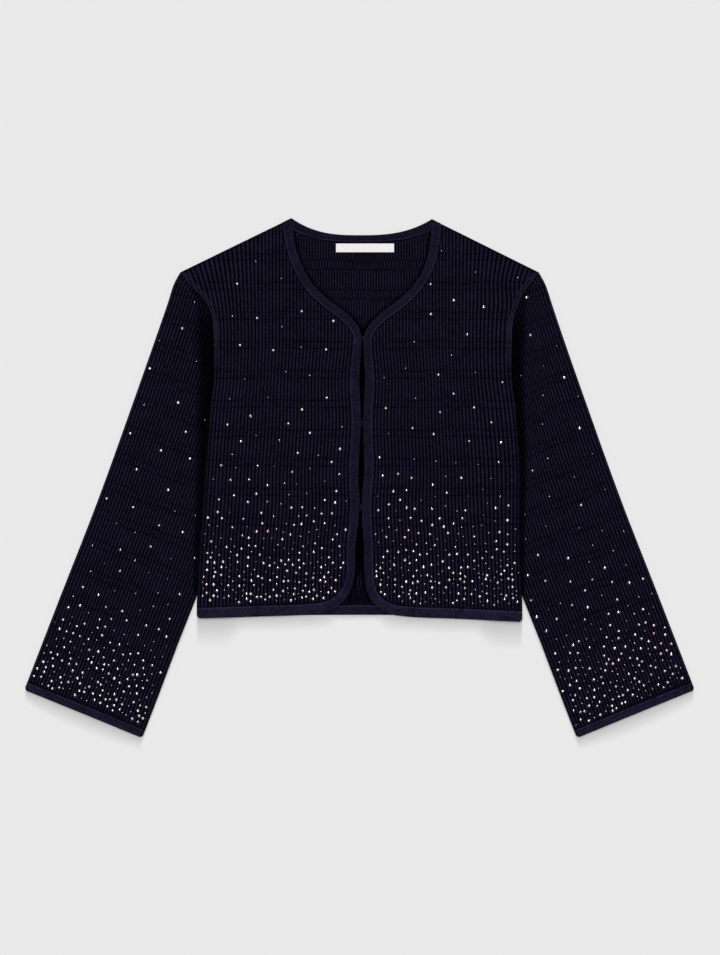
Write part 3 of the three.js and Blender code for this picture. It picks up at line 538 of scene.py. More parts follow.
def opening_stations(side, step=1.2):
    """Points along a front's open edge: x, y, band width, the direction across the band, and the way along.
    The direction is square to the edge, swinging to the shoulder's slant and to straight up at its ends."""
    x, y, band = curve_through(OPENING[side], step).T
    along, dx, dy = directions(x, y)
    neck_x, neck_y, _ = OPENING[side][0]
    slant = math.atan2(SHOULDER_Y - neck_y, SHOULDER_X - neck_x)
    near_neck = ease(1 - along / BAND_END_TURN)
    near_side = ease(1 - (along[-1] - along) / BAND_END_TURN)
    angle = mix(mix(np.arctan2(dx, -dy), slant, near_neck), np.pi / 2, near_side)
    rise = corner_rise(x)
    return x, y + rise, band - rise, np.cos(angle), np.sin(angle), along


class FrontShape:
    """Where a front's ribs run. Rib share s is 0 at the side edge and 1 beside the band of the front edge,
    and the armhole's seam cuts off some ribs of a share below 0."""

    def __init__(self, side):
        self.side = side
        x, y, band, nx, ny, _ = opening_stations(side)
        edge_x = x + nx * (band - SEAM_TUCK)
        edge_y = y + ny * (band - SEAM_TUCK)
        front_top = int(np.argmin(np.where(edge_y > UNDERARM_Y, edge_x, np.inf)))
        corner_top = int(np.argmax(edge_y < CORNER_FROM))
        self.neck_x, self.neck_y = edge_x[: front_top + 1][::-1], edge_y[: front_top + 1][::-1]
        self.edge_x = edge_x[front_top : corner_top + 1][::-1]
        self.edge_y = edge_y[front_top : corner_top + 1][::-1]
        self.hem_x, self.hem_y = edge_x[corner_top:], edge_y[corner_top:]
        self.first = float(self.share(SHOULDER_X, SHOULDER_Y))

    def guide(self, y):
        """The panel's front edge at a height."""
        return np.interp(y, self.edge_y, self.edge_x)

    def column(self, s, y):
        """x of rib share s at a height: mix(side edge, front edge, s), fanned."""
        return fanned(mix(side_guide(y), self.guide(y), s), y)

    def in_panel(self, s, y):
        """Whether a point lies below the shoulder line and outside the neckline."""
        x = self.column(s, y)
        outside = (y > self.neck_y[-1]) | (x >= np.interp(y, self.neck_y, self.neck_x))
        return (y <= shoulder_line(self.side, x)) & ((x > self.neck_x[-1]) | outside)

    def top(self, s):
        """Height at which a rib meets the shoulder or the neckline's band."""
        found = last_inside(MID_HEIGHT, self.neck_y[-1], lambda y: self.in_panel(s, y))
        found = np.broadcast_to(found, s.shape)
        return np.where(s > 0.999, self.neck_y[0], found)

    def bottom(self, s):
        """Height at which a rib meets the band of the hem or the rounded corner, or else the armhole's
        seam."""
        above = lambda y: y >= np.interp(self.column(s, y), self.hem_x, self.hem_y)
        found = np.broadcast_to(last_inside(MID_HEIGHT, SIDE_EDGE[0][1], above), s.shape)
        clear = lambda y: self.column(s, y) <= half_width(y)
        cut = last_inside(SHOULDER_Y, FAN_HEIGHT, clear)
        return np.where(s < 0, cut, np.where(s > 0.999, self.hem_y[0], found))

    def share(self, x, y):
        """Rib share of a point."""
        return (side_guide(y) - fanned(x, y, -1)) / (side_guide(y) - self.guide(y))


def front_grid(shape, piece, s, rows, split, outer):
    """One face of a front. A column is a rib share, a row a course, held between the hem and the shoulder.
    The outer face is the base plus the wall and the ribs, cut by the cross furrows and rounded at folds. The
    ribs that the armhole cuts off are a second part, from the split row up. Returns both parts, y along the
    side edge, and the top line."""
    sign = SIDES[shape.side]
    bottom, top = shape.bottom(s), shape.top(s)
    roll = np.maximum(top - SHOULDER_ROLL, bottom)
    at_shoulder = shape.column(s, top) > shape.neck_x[-1]
    rib = rib_shape(s * FRONT_RIBS) if outer else np.zeros_like(s)
    course = np.clip(rows[None, :], bottom, roll)
    ends = np.array([0.35, 0.62, 0.82, 0.94, 1.0])[None, :]
    scallop = SHOULDER_SCALLOP * (1 - rib) * at_shoulder * ends * outer * ease((top - bottom) / 8)
    course = np.hstack([course, roll + (top - roll) * ends - scallop])
    free = off_ends(course, bottom, top)
    y = course + waviness(shape.column(s, course), course) * free
    x = np.minimum(shape.column(s, y), half_width(y))
    rolled = np.where(at_shoulder, round_edge(top - y, SHOULDER_ROLL), 1)
    rounding = np.minimum(side_rounding(x, y), rolled)
    ridges = seam_ridges(x, y)
    relief = mix(rib, furrowed(rib, s * FRONT_RIBS * RIB_PITCH, course, NIP_BODY_AT), free)
    for ridge, (_, _, lightness) in zip(ridges, RIDGES):
        relief = mix(relief, lightness, ridge)
    base = front_base(shape.side, x, y) - (CLOTH + PLY_GAP - WALL) * (1 - rounding)
    thick = WALL + RIB_HEIGHT * relief + RIDGE_HEIGHT * sum(ridges)
    z = base + (mix(FOLD_EDGE, thick, rounding) if outer else 0)
    # Painted shade: the side edge is darker below mid height, and the relief that sets the colour fades to
    # dark where a fold rounds over
    shade = 0.35 + 0.65 * ease((half_width(y) - x) / 5) + ease((y - MID_HEIGHT) / 60)
    shade = np.clip(shade, 0, 1)
    numbers = piece.add(sign * x, y, z, s * FRONT_RIBS * RIB_PITCH, course, relief * rounding, shade)
    side = int(np.searchsorted(s[:, 0], 0.0))
    parts = []
    for low, columns in ((bottom, slice(side, None)), (np.maximum(bottom, rows[split]), slice(0, side + 1))):
        kept = np.hstack([clipped(numbers[:, : len(rows)], rows, low, roll), numbers[:, len(rows) :]])
        parts.append(kept[columns])
        piece.fill(parts[-1])
    return *parts, y[side], numbers[:, -1]


def front_panel(side, material):
    """A front: a fine outer face and a plain inner one, joined line by line all round."""
    shape = FrontShape(side)
    piece = Piece()
    rows = course_rows(NIP_BODY_AT, -175.0, 312.0)
    step = 4
    split = int(np.searchsorted(rows[::step], FAN_HEIGHT)) * step
    faces = []
    for per_rib, each, outer in ((RIB_COLUMNS, 1, True), (1, step, False)):
        cut_off = np.linspace(shape.first, 0, 4 * per_rib + 1)[:-1]
        s = np.concatenate([cut_off, np.linspace(0, 1, FRONT_RIBS * per_rib + 1)])
        main, cut, y, top = front_grid(shape, piece, s[:, None], rows[::each], split // each, outer)
        below = slice(0, split // each + 1)
        faces.append([
            (top, s),
            (main[:, 0], s[len(cut_off) :]),
            (cut[:, 0], s[: len(cut_off) + 1]),
            (main[-1], np.linspace(0, 1, len(main[-1]))),
            (main[0, below], y[below]),
            (cut[0], np.linspace(0, 1, len(cut[0]))),
        ])
    for (outer_line, outer_at), (inner_line, inner_at) in zip(*faces):
        piece.join(outer_line, inner_line, outer_at, inner_at)
    return piece.build(f"front_{side}_ribs", material)


def neck_point(x):
    """x and y of the neck point that lies on the same side as each place."""
    return [np.where(x > 0, OPENING["left"][0][axis], OPENING["right"][0][axis]) for axis in (0, 1)]


def back_neck(x):
    """Height of the back neck's top edge: the neck points' height less a drop that fades by a power."""
    neck_x, neck_y = neck_point(x)
    low = OPENING["right"][0][1] - NECK_DROP
    return low + (neck_y - low) * np.clip(np.abs(x) / neck_x, 0, 1.2) ** NECK_CURVE


def back_hem(x):
    """Height of the back hem's lower edge: a shallow parabola."""
    return BACK_HEM_Y - BACK_HEM_DROP * (x / HEM_HALF) ** 2


def neck_stations():
    """Points along the back neck's top edge, the direction across its band and the band's width. At the ends
    the direction swings out to lie along the shoulder line."""
    x = np.linspace(-OPENING["right"][0][0], OPENING["left"][0][0], 161)
    y = back_neck(x)
    neck_x, neck_y = neck_point(x)
    slope = np.gradient(y, x)
    run = np.hypot(SHOULDER_X - neck_x, SHOULDER_Y - neck_y)
    end = ease((np.abs(x) / neck_x - 0.8) / 0.2)
    nx = mix(slope / np.hypot(1, slope), np.sign(x) * (SHOULDER_X - neck_x) / run, end)
    ny = mix(-1 / np.hypot(1, slope), (SHOULDER_Y - neck_y) / run, end)
    share = np.clip(np.abs(x) / OPENING["right"][0][0], 0, 1)
    width = mix(NECK_BAND_MIDDLE, NECK_BAND_ENDS, share**2)
    size = np.hypot(nx, ny)
    return x, y, width, nx / size, ny / size


def back_column(s, y):
    """x of rib share s of the back: s times the half width, where the middle ribs stay upright above the
    fan's height and the outer ones spread."""
    upright = 1 - ease((np.abs(s) - BACK_FAN_FROM) / (1 - BACK_FAN_FROM))
    return s * (half_width(y) + (side_guide(y) - half_width(y)) * upright)


def back_top(s):
    """Height at which a rib of the back meets the shoulder line or the neck band."""
    x, y, width, nx, ny = neck_stations()
    edge_x, edge_y = x + nx * (width - SEAM_TUCK), y + ny * (width - SEAM_TUCK)

    def inside(height):
        at = back_column(s, height)
        shoulder = np.where(at > 0, shoulder_line("left", np.abs(at)), shoulder_line("right", np.abs(at)))
        in_neck = (at > edge_x[0]) & (at < edge_x[-1])
        return height <= np.where(in_neck, np.minimum(shoulder, np.interp(at, edge_x, edge_y)), shoulder)

    return last_inside(UNDERARM_Y, OPENING["right"][0][1], inside)


def back_grid(piece, s, rows, inside_of_garment):
    """One face of the back. The face that shows inside the neck has ribs that jump half a rib between the
    lines of each pair of cross furrows, and the face that lies on the floor has furrows cut up into it."""
    bottom = back_hem(s * HEM_HALF) + BACK_HEM_BAND - SEAM_TUCK
    top = back_top(s)
    course = np.clip(rows[None, :], bottom, top)
    free = off_ends(course, bottom, top)
    y = course + waviness(s * 190, course) * free * 0.6
    x = back_column(s, y)
    rounding = side_rounding(x, y)
    jump = 0.5 * between_pair(course, NIP_BACK_AT, NIP_BACK_GAP) * free
    rib = rib_shape(s * BACK_RIBS / 2 + jump)
    relief = mix(rib, furrowed(rib, s * 200, course, NIP_BACK_AT, NIP_BACK_GAP), free)
    shade = 1.0
    if inside_of_garment:
        z = lift(x, y) + WALL + RIB_HEIGHT * relief
        reach = read_off(SLIT_SHADOW, y)
        for side, sign in SIDES.items():
            line_x, line_y = opening_stations(side)[:2]
            shade = shade * ease(distance_to(sign * x, y, line_x, line_y) / reach) ** 1.5
    else:
        z = lift(x, y) + (WALL - FOLD_EDGE) * (1 - rounding) + GROOVE * (1 - relief) * rounding
    numbers = piece.add(x, y, z, s * BACK_RIBS * RIB_PITCH / 2, course, relief, shade)
    kept = clipped(numbers, rows, bottom, top)
    piece.fill(kept)
    return kept, y


def back_panel(material):
    """The back: fine ribs inside where they show in the neck, and ribs all over the outside."""
    piece = Piece()
    rows = course_rows(NIP_BACK_AT, -172.0, 300.0, NIP_BACK_GAP)
    shown = rows > BACK_SHOWN_FROM
    upper_rows = np.concatenate([rows[~shown][::6], rows[shown]])
    half = BACK_RIBS * HIDDEN_COLUMNS
    under_s = np.linspace(-1, 1, half + 1)[:, None]
    edge = round(BACK_RIBS * 0.24)
    middle = np.arange(edge * RIB_COLUMNS, (BACK_RIBS - edge) * RIB_COLUMNS + 1) / RIB_COLUMNS
    sides = np.arange(0, edge * 2) / 2
    upper_s = np.concatenate([sides, middle, BACK_RIBS - sides[::-1]])[:, None] * 2 / BACK_RIBS - 1
    upper, upper_y = back_grid(piece, upper_s, upper_rows, True)
    under, under_y = back_grid(piece, under_s, rows, False)
    for row in (0, -1):
        piece.join(upper[:, row], under[:, row], upper_s[:, 0], under_s[:, 0])
    for column in (0, -1):
        piece.join(upper[column], under[column], upper_y[column], under_y[column])
    return piece.build("back_ribs", material)


def band_section(width, thick):
    """A knitted band's section as across, up and relief: half a circle at the open edge, a crowned top, a
    ridge and a groove beside the seam, and a flat underside. The relief only paints the colour: painted shade
    round the open edge and in the groove, and painted light on the ridge."""
    r = thick / 2
    turn = np.radians(np.linspace(-90, -270, 9))
    top = np.linspace(0, 1, 11)[1:]
    seam = np.array([[-3.5, 0.02, 0.6], [-3.1, 0.25, 1.1], [-2.5, 0.32, 1.2], [-1.9, 0.08, 0.8],
                     [-1.3, -0.3, 0.4], [-0.7, -0.7, 0.0], [0, -1.1, 0.0]])
    ones = np.ones_like(width)[:, None]
    foot = np.linspace(1, 0, 5)[1:-1]
    across = np.hstack([
        ones * (r + r * np.cos(turn)),
        r + (width[:, None] - 4.2 - r) * top,
        width[:, None] + seam[:, 0],
        width[:, None],
        r + (width[:, None] - r) * foot,
    ])
    up = np.concatenate([r + r * np.sin(turn), thick + 0.3 * np.sin(np.pi * top),
                         thick + seam[:, 1], [0], np.zeros(len(foot))])
    relief = np.concatenate([0.35 + 0.25 * (1 + np.sin(turn)) / 2, 0.55 + 0.06 * np.sin(5 * np.pi * top),
                             seam[:, 2], [0], np.zeros(len(foot))])
    return across, ones * up, ones * relief


def band(name, x, y, width, nx, ny, along, base, thick, tone, sign, material):
    """A band swept along stations: each point is the edge plus the direction times its place across, and its
    height is the base there plus the section's. A slow wave keeps it from looking drawn with a ruler. tone is
    how light its yarn looks at each station."""
    across, up, relief = band_section(width, thick)
    px = x[:, None] + nx[:, None] * across
    py = y[:, None] + ny[:, None] * across
    swell = 0.07 * np.sin(along / 9)[:, None] + 0.05 * np.sin(along / 3.7 + 1)[:, None]
    z = base(px, py) + up * (1 + swell * (up > thick * 0.6))
    piece = Piece()
    tone = np.broadcast_to(tone, along.shape)[:, None]
    numbers = piece.add(sign * px, py, z, along[:, None], across, relief * tone)
    piece.fill(numbers.T, ring=True)
    for end in (0, -1):
        centre = piece.add(
            sign * px[end].mean(), py[end].mean(), z[end].mean(), along[end], width[end] / 2, 0.5
        )
        ring = np.append(numbers[end], numbers[end, 0])
        tips = np.full(len(ring) - 1, centre)
        piece.faces.append(np.stack([ring[:-1], ring[1:], tips, tips], -1))
    return piece.build(name, material)


def front_band(side, material):
    """The band of one front, from the neck point down the front edge and along the hem."""
    x, y, width, nx, ny, along = opening_stations(side)
    base = lambda px, py: front_base(side, px, py)
    tone = mix(*FRONT_BAND_TONES, ease((y + 168) / 50))
    name = f"front_band_{side}_knit"
    return band(name, x, y, width, nx, ny, along, base, BAND_THICK, tone, SIDES[side], material)


def neck_band(material):
    """The band of the back neck."""
    x, y, width, nx, ny = neck_stations()
    along = directions(x, y)[0]
    base = lambda px, py: np.zeros_like(px)
    name = "neck_band_back_knit"
    return band(name, x, y, width, nx, ny, along, base, CLOTH, NECK_BAND_TONE, 1, material)


def hem_band(material):
    """The band of the back hem, which rides up over the sleeves with the body."""
    x = np.linspace(-HEM_HALF, HEM_HALF, 260)
    rise = corner_rise(x)
    still, up = np.zeros(len(x)), np.ones(len(x))
    name = "hem_band_back_knit"
    low, width = back_hem(x) + rise, BACK_HEM_BAND - rise
    return band(name, x, low, width, still, up, x + HEM_HALF, lift, CLOTH, BACK_HEM_TONE, 1, material)


# A sleeve has its own directions: along it from the shoulder, and across it from the outer fold
outer_x, outer_y = curve_through(SLEEVE_OUTER, 2.0).T
outer_along, outer_dx, outer_dy = directions(outer_x, outer_y)
sleeve_length = outer_along[-1]


def sleeve_point(across, along):
    """The outer fold's point at that way along, plus the way across square to it."""
    dx, dy = np.interp(along, outer_along, outer_dx), np.interp(along, outer_along, outer_dy)
    beyond = np.maximum(0, along - sleeve_length)
    x = np.interp(along, outer_along, outer_x) + dy * across + dx * beyond
    y = np.interp(along, outer_along, outer_y) - dx * across + dy * beyond
    return x, y


def sleeve_coordinates(x, y):
    """Across and along of points, by stepping along until the rest is square to the fold."""
    x, y = np.asarray(x, float), np.asarray(y, float)
    along = np.full(x.shape, sleeve_length / 2)
    for _ in range(30):
        px, py = sleeve_point(0, along)
        dx, dy = np.interp(along, outer_along, outer_dx), np.interp(along, outer_along, outer_dy)
        along = np.clip(along + (x - px) * dx + (y - py) * dy, 0, sleeve_length * 1.1)
        across = (x - px) * dy - (y - py) * dx
    return across, along


in_armhole = side_y >= UNDERARM_Y
armhole_across, armhole_along = sleeve_coordinates(
    side_half[in_armhole][::-1] - SEAM_TUCK, side_y[in_armhole][::-1]
)
armhole_across[0], armhole_along[0] = 0.0, 0.2
armhole_across = np.maximum.accumulate(armhole_across)
underarm_across, underarm_along = armhole_across[-1], armhole_along[-1]
inner_across, inner_along = sleeve_coordinates(*np.array(SLEEVE_INNER).T)
inner_across = np.append(underarm_across, inner_across)
inner_along = np.append(underarm_along, inner_along)
cuff_width = inner_across[-1]


def fold_across(along):
    """Width of the flat sleeve at a way along it."""
    return np.interp(along, inner_along, inner_across)


def seam_along(across):
    """Way along at which the armhole seam crosses a way across."""
    return np.interp(np.minimum(across, underarm_across), armhole_across, armhole_along)


def cuff_along(across, trim):
    """Way along at the cuff: a slight slant less a bow, less what is trimmed for the band."""
    share = across / cuff_width
    bow = CUFF_BOW * np.sin(np.pi * np.clip(share, 0, 1))
    return sleeve_length + CUFF_REACH + CUFF_SLANT * share - bow - trim


def cuff_corner(across):
    """How far the cuff's end draws back at its folds: a quarter circle."""
    past = np.clip(CUFF_CORNER - np.minimum(across, cuff_width - across), 0, CUFF_CORNER * 0.98)
    return CUFF_CORNER - np.sqrt(CUFF_CORNER**2 - past**2)


def sleeve_loft(across, along, width):
    """Hollow between a sleeve's layers: a sine of the way across, flattened by each crease's bell."""
    under_body = ease((along - UNDER_BODY[0]) / 60) * ease((UNDER_BODY[1] - along) / 60)
    free = width - UNDER_BODY_WIDTH * under_body
    loft = SLEEVE_LOFT * np.abs(np.sin(np.pi * np.clip(across / free, 0, 1))) ** 0.7
    for from_across, from_along, to_across, to_along, half, depth in SLEEVE_CREASES:
        share = (along - from_along) / (to_along - from_along)
        strength = np.abs(np.sin(np.pi * np.clip(share, 0, 1))) ** 0.7
        centre = mix(from_across, to_across, share)
        loft = loft * (1 - depth * strength * np.exp(-(((across - centre) / half) ** 2)))
    return loft


def near_seam(across, along):
    """1 on the armhole seam, and 0 from a little way down the sleeve."""
    return np.where(across > underarm_across, 0, ease(1 - (along - seam_along(across)) / SEAM_REACH))


def gathered(place, width):
    """Way across of a point that lies place from the outer fold on the whole rib pattern: the ribs that the
    inner fold cuts off are drawn into the last stretch beside it."""
    limit = width - RIB_END
    whole = SLEEVE_RIBS * RIB_PITCH
    return np.where(place <= limit, place, limit + (place - limit) * RIB_END / (whole - limit))


def within_wall(across, width, inner):
    """Way across of a point of the tube, whose inner face is drawn in at both folds by the wall."""
    inset = SLEEVE_FLOOR_WALL if inner else 0
    return inset + across * (width - 2 * inset) / width


def ring_height(place, along, width, upper, thick, under, inner):
    """Height of a point of the flattened tube: the layer's own height, drawn to the middle at the folds by
    a quarter circle."""
    near = near_seam(place, along)
    loft = sleeve_loft(place, along, width) * (1 - near * 0.8)
    ceiling = SLEEVE_FLOOR_WALL + PLY_GAP + loft + SEAM_RISE * near
    middle = (SLEEVE_FLOOR_WALL + ceiling) / 2
    radius = FOLD_RADIUS / 2 if inner else FOLD_RADIUS
    inset = SLEEVE_FLOOR_WALL if inner else 0
    rounding = round_edge(np.minimum(place - inset, width - inset - place), radius)
    level = np.where(upper, ceiling + thick, SLEEVE_FLOOR_WALL if inner else under)
    return mix(middle, level, rounding)


def body_shadow(side, x, y):
    """Shade on a sleeve beside the body: dark from the body's edge most of the way to the shadow's reach,
    then quickly light."""
    share = (x - half_width(y)) / (read_off(BODY_SHADOW, y) * SHADOW_SHARE[side])
    return mix(read_off(SHADOW_LEVEL, y), 1, 0.22 * ease(share) + 0.78 * ease((share - 0.5) / 0.6))


def sleeve_face(piece, side, pattern, upper, rows, inner):
    """One face of the sleeve's tube. pattern is each column's place on the rib pattern in millimetres from
    the outer fold, over the upper layer and back under it. Rows are held between the armhole and the cuff."""
    start = seam_along(gathered(pattern, underarm_across))
    end = cuff_along(gathered(pattern, cuff_width), CUFF_BAND - SEAM_TUCK)
    course = np.clip(rows[None, :], start, end)
    free = off_ends(course, start, end)
    width = fold_across(course)
    across = gathered(pattern, width)
    along = course + waviness(across, course) * free * ease((width - across) / 8) * ease(across / 8)
    fading = ease((width - RIB_END - across) / 1.5)
    relief = mix(0.75, rib_shape(pattern / RIB_PITCH), fading)
    relief = mix(relief, furrowed(relief, across, course, NIP_SLEEVE_AT), free)
    place = within_wall(across, width, inner)
    thick, under = (0, 0) if inner else (WALL + RIB_HEIGHT * relief, GROOVE * (1 - relief) * fading)
    z = ring_height(place, along, width, upper, thick, under, inner)
    x, y = sleeve_point(place, along)
    shade = np.where(upper, body_shadow(side, x, y), 1.0)
    numbers = piece.add(SIDES[side] * x, y, z, pattern, course, 0.3 if inner else relief, shade)
    kept = clipped(numbers, rows, start, end)
    piece.fill(kept, ring=True)
    return kept


def ring_places(per_rib, under_per_rib):
    """Places on the rib pattern round the tube: over the upper layer and back under it, whether each is on
    the upper layer, and its share of the way round."""
    whole = SLEEVE_RIBS * RIB_PITCH
    over = np.arange(SLEEVE_RIBS * per_rib + 1) / per_rib * RIB_PITCH
    back = np.arange(SLEEVE_RIBS * under_per_rib - 1, 0, -1) / under_per_rib * RIB_PITCH
    upper = np.concatenate([np.ones(len(over), bool), np.zeros(len(back), bool)])
    around = np.concatenate([over / whole / 2, 1 - back / whole / 2])
    return np.concatenate([over, back]), upper, around


def two_faced_tube(name, per_rib, under_per_rib, face, material):
    """A tube of an outer and a plain inner face, open at both ends and closed along their rims. face makes
    one of the two, given the piece, the places round it, which of them are on the upper layer, and whether
    it is the inner one."""
    piece = Piece()
    rims = []
    for inner, columns in enumerate(((per_rib, under_per_rib), (1, 1))):
        places, upper, around = ring_places(*columns)
        numbers = face(piece, places[:, None], upper[:, None], bool(inner))
        rims.append((np.vstack([numbers, numbers[:1]]), np.append(around, 1.0)))
    (outer, outer_around), (inner, inner_around) = rims
    for row in (0, -1):
        piece.join(outer[:, row], inner[:, row], outer_around, inner_around)
    return piece.build(name, material)


def sleeve(side, material):
    """A sleeve: a flattened tube with ribs outside and a plain inside, open at the armhole and the cuff."""
    rows = course_rows(NIP_SLEEVE_AT + NIP_PERIOD * 16, 0.0, sleeve_length + CUFF_REACH + CUFF_SLANT)
    face = lambda piece, places, upper, inner: sleeve_face(
        piece, side, places, upper, rows[::3] if inner else rows, inner
    )
    return two_faced_tube(f"sleeve_{side}_ribs", RIB_COLUMNS, HIDDEN_COLUMNS - 1, face, material)


def cuff_face(piece, side, pattern, upper, rows, profile, inner):
    """One face of the cuff band's tube: the sleeve's ring carried on to the cuff line. profile is the extra
    height of each row, so the band has the same groove and ridge as the others."""
    across = gathered(pattern, cuff_width)
    width = cuff_width * np.ones_like(rows)[None, :]
    place = within_wall(across, width, inner)
    along = np.minimum(cuff_along(place, rows[None, :]), cuff_along(place, 0) - cuff_corner(place))
    thick = 0 if inner else CLOTH + CUFF_EXTRA + profile[None, :]
    z = ring_height(place, along, width, upper, thick, 0.0, inner)
    x, y = sleeve_point(place, along)
    # Painted shade at the rounded end and in the groove by the seam, and painted light on the ridge, from the
    # profile
    relief = np.clip(0.58 + profile * 1.2, 0, 1)[None, :]
    numbers = piece.add(SIDES[side] * x, y, z, pattern, rows[None, :], relief)
    piece.fill(numbers, ring=True)
    return numbers


def cuff_band(side, material):
    """A cuff band: a short tube with a rounded end, a groove and a ridge beside its seam."""
    rows = np.array([0, 0.012, 0.045, 0.1, 0.22, 0.36, 0.5, 0.64, 0.68, 0.74, 0.8, 0.86, 0.93, 1]) * CUFF_BAND
    profile = np.array([-1.2, -0.6, -0.1, 0.1, 0.05, 0.02, 0.0, -0.08, 0.3, 0.36, 0.1, -0.3, -0.68, -1.0])
    few = [0, 5, -1]
    face = lambda piece, places, upper, inner: cuff_face(
        piece, side, places, upper, rows[few] if inner else rows, profile[few] if inner else profile, inner
    )
    return two_faced_tube(f"cuff_band_{side}_knit", 3, 1, face, material)


def tube(name, path, radius, material, sides=10, steps=60):
    """A round wire along a smooth curve through a few places: each ring is the curve plus a circle square to
    its direction, and its ends are closed by points drawn to the middle."""
    knots = np.array(path, float)
    span = np.linalg.norm(np.diff(knots, axis=0), axis=1)
    along = running(span)
    at = np.linspace(0, 1, steps) * along[-1]
    centre = cubic(knots, np.gradient(knots, along, axis=0), span, at)
    way = np.gradient(centre, axis=0)
    way /= np.linalg.norm(way, axis=1)[:, None]
    side = np.cross(way, [0.0, 0.0, 1.0])
    side /= np.maximum(np.linalg.norm(side, axis=1), 1e-6)[:, None]
    lift_way = np.cross(side, way)
    turn = np.linspace(0, 2 * np.pi, sides, endpoint=False)[None, :, None]
    close = round_edge(np.minimum(at, along[-1] - at), radius)[:, None, None] * 0.98 + 0.02
    ring = side[:, None, :] * np.cos(turn) + lift_way[:, None, :] * np.sin(turn)
    points = centre[:, None, :] + ring * radius * close
    piece = Piece()
    numbers = piece.add(*np.moveaxis(points, -1, 0), at[:, None], turn[..., 0], 0.5)
    piece.fill(numbers)
    piece.fill(np.stack([numbers[:, -1], numbers[:, 0]], 1))
    for end in (0, -1):
        rim = numbers[end]
        piece.faces.append(np.stack([np.full(sides - 2, rim[0]), rim[1:-1], rim[2:], rim[2:]], -1))
    return piece.build(name, material)


def ribbon(name, size, base, rise, material):
    """A woven label: a thin slab whose top bows slightly, with soft edges. Height is the base, the
    thickness and a shallow wave over the ribs under it."""
    x = size["x"] + size["width"] * (np.linspace(0, 1, 91) - 0.5)[:, None]
    y = size["top"] - size["height"] * np.linspace(0, 1, 19)[None, :]
    edge = np.minimum(
        np.minimum(x - x[0], x[-1] - x), np.minimum(size["top"] - y, y - size["top"] + size["height"])
    )
    rounding = 0.7 + 0.3 * round_edge(edge, 0.4)
    wave = rise * np.sin(2 * np.pi * x / RIB_PITCH) * 0.5 + rise * np.sin(x / 11)
    top = base + wave + size["thick"] * rounding
    piece = Piece()
    upper = piece.add(x, y, top, x, y, rounding)
    lower = piece.add(x, y, base + wave + 0 * y, x, y, rounding)
    piece.fill(upper)
    piece.fill(lower)
    for row in (0, -1):
        piece.join(upper[:, row], lower[:, row], x[:, 0], x[:, 0])
    for column in (0, -1):
        piece.join(upper[column], lower[column], -y[0], -y[0])
    return piece.build(name, material, smooth=False)


def spindle():
    """A stitch of half length and radius 1: three rings of six points, whose radius is sqrt(1 - t²) at t
    along it, and a point at each end."""
    turn = np.arange(6) * np.pi / 3
    t = np.repeat([-0.7, 0.0, 0.7], 6)
    size = np.sqrt(1 - t**2)
    rings = np.stack([t, size * np.cos(np.tile(turn, 3)), size * np.sin(np.tile(turn, 3))], -1)
    i, j = np.arange(6), (np.arange(6) + 1) % 6
    first, last = np.full(6, 18), np.full(6, 19)
    faces = [np.stack([first, j, i, i], -1), np.stack([last, i + 12, j + 12, j + 12], -1)]
    faces += [np.stack([i + low, j + low, j + low + 6, i + low + 6], -1) for low in (0, 6)]
    return np.vstack([rings, [[-1, 0, 0], [1, 0, 0]]]), np.concatenate(faces)


def seam_stitches(side, material):
    """The raised stitches of the armhole's seam: a row of spindles on each ridge. Each one is stretched to a
    stitch, turned a little across the seam, and set down square to the body's edge."""
    points, faces = spindle()
    local = points * STITCH_SIZE
    along, dx, dy = directions(side_half, side_y)
    start = np.interp(STITCHES_FROM_Y, side_y, along)
    piece = Piece()
    for row, (distance, _, _) in enumerate(RIDGES):
        at = np.arange(start + row * STITCH_PITCH / 2, along[-1] - 3, STITCH_PITCH)[:, None]
        way_x, way_y = np.interp(at, along, dx), np.interp(at, along, dy)
        turn = np.arctan2(way_y, way_x) + STITCH_TURN
        centre_x = np.interp(at, along, side_half) - way_y * distance
        centre_y = np.interp(at, along, side_y) + way_x * distance
        size = 0.4 + 0.6 * ease((centre_y - STITCHES_FROM_Y) / STITCHES_FULL)
        x = centre_x + (local[:, 0] * np.cos(turn) - local[:, 1] * np.sin(turn)) * size
        y = centre_y + (local[:, 0] * np.sin(turn) + local[:, 1] * np.cos(turn)) * size
        roll = round_edge(np.maximum(shoulder_line(side, centre_x) - centre_y, 0.5), SHOULDER_ROLL)
        z = front_base(side, centre_x, centre_y) + (CLOTH + RIDGE_HEIGHT) * roll - 0.1 + local[:, 2]
        numbers = piece.add(SIDES[side] * x, y, z, at, local[:, 0], 1.0)
        piece.faces.append(numbers[:, faces].reshape(-1, 4))
    return piece.build(f"armhole_stitches_{side}", material)


class Value:
    """A shader socket. Sums, products and powers with numbers or other sockets add Math nodes."""

    def __init__(self, finish, socket):
        self.finish = finish
        self.socket = socket

    def math(self, operation, *inputs):
        return self.finish.node("ShaderNodeMath", {"operation": operation}, dict(enumerate(inputs)))

    def __add__(self, other):
        return self.math("ADD", self, other)

    def __sub__(self, other):
        return self.math("SUBTRACT", self, other)

    def __rsub__(self, other):
        return self.math("SUBTRACT", other, self)

    def __mul__(self, other):
        return self.math("MULTIPLY", self, other)

    def __truediv__(self, other):
        return self.math("DIVIDE", self, other)

    def __pow__(self, other):
        return self.math("POWER", self, other)

    __radd__ = __add__
    __rmul__ = __mul__


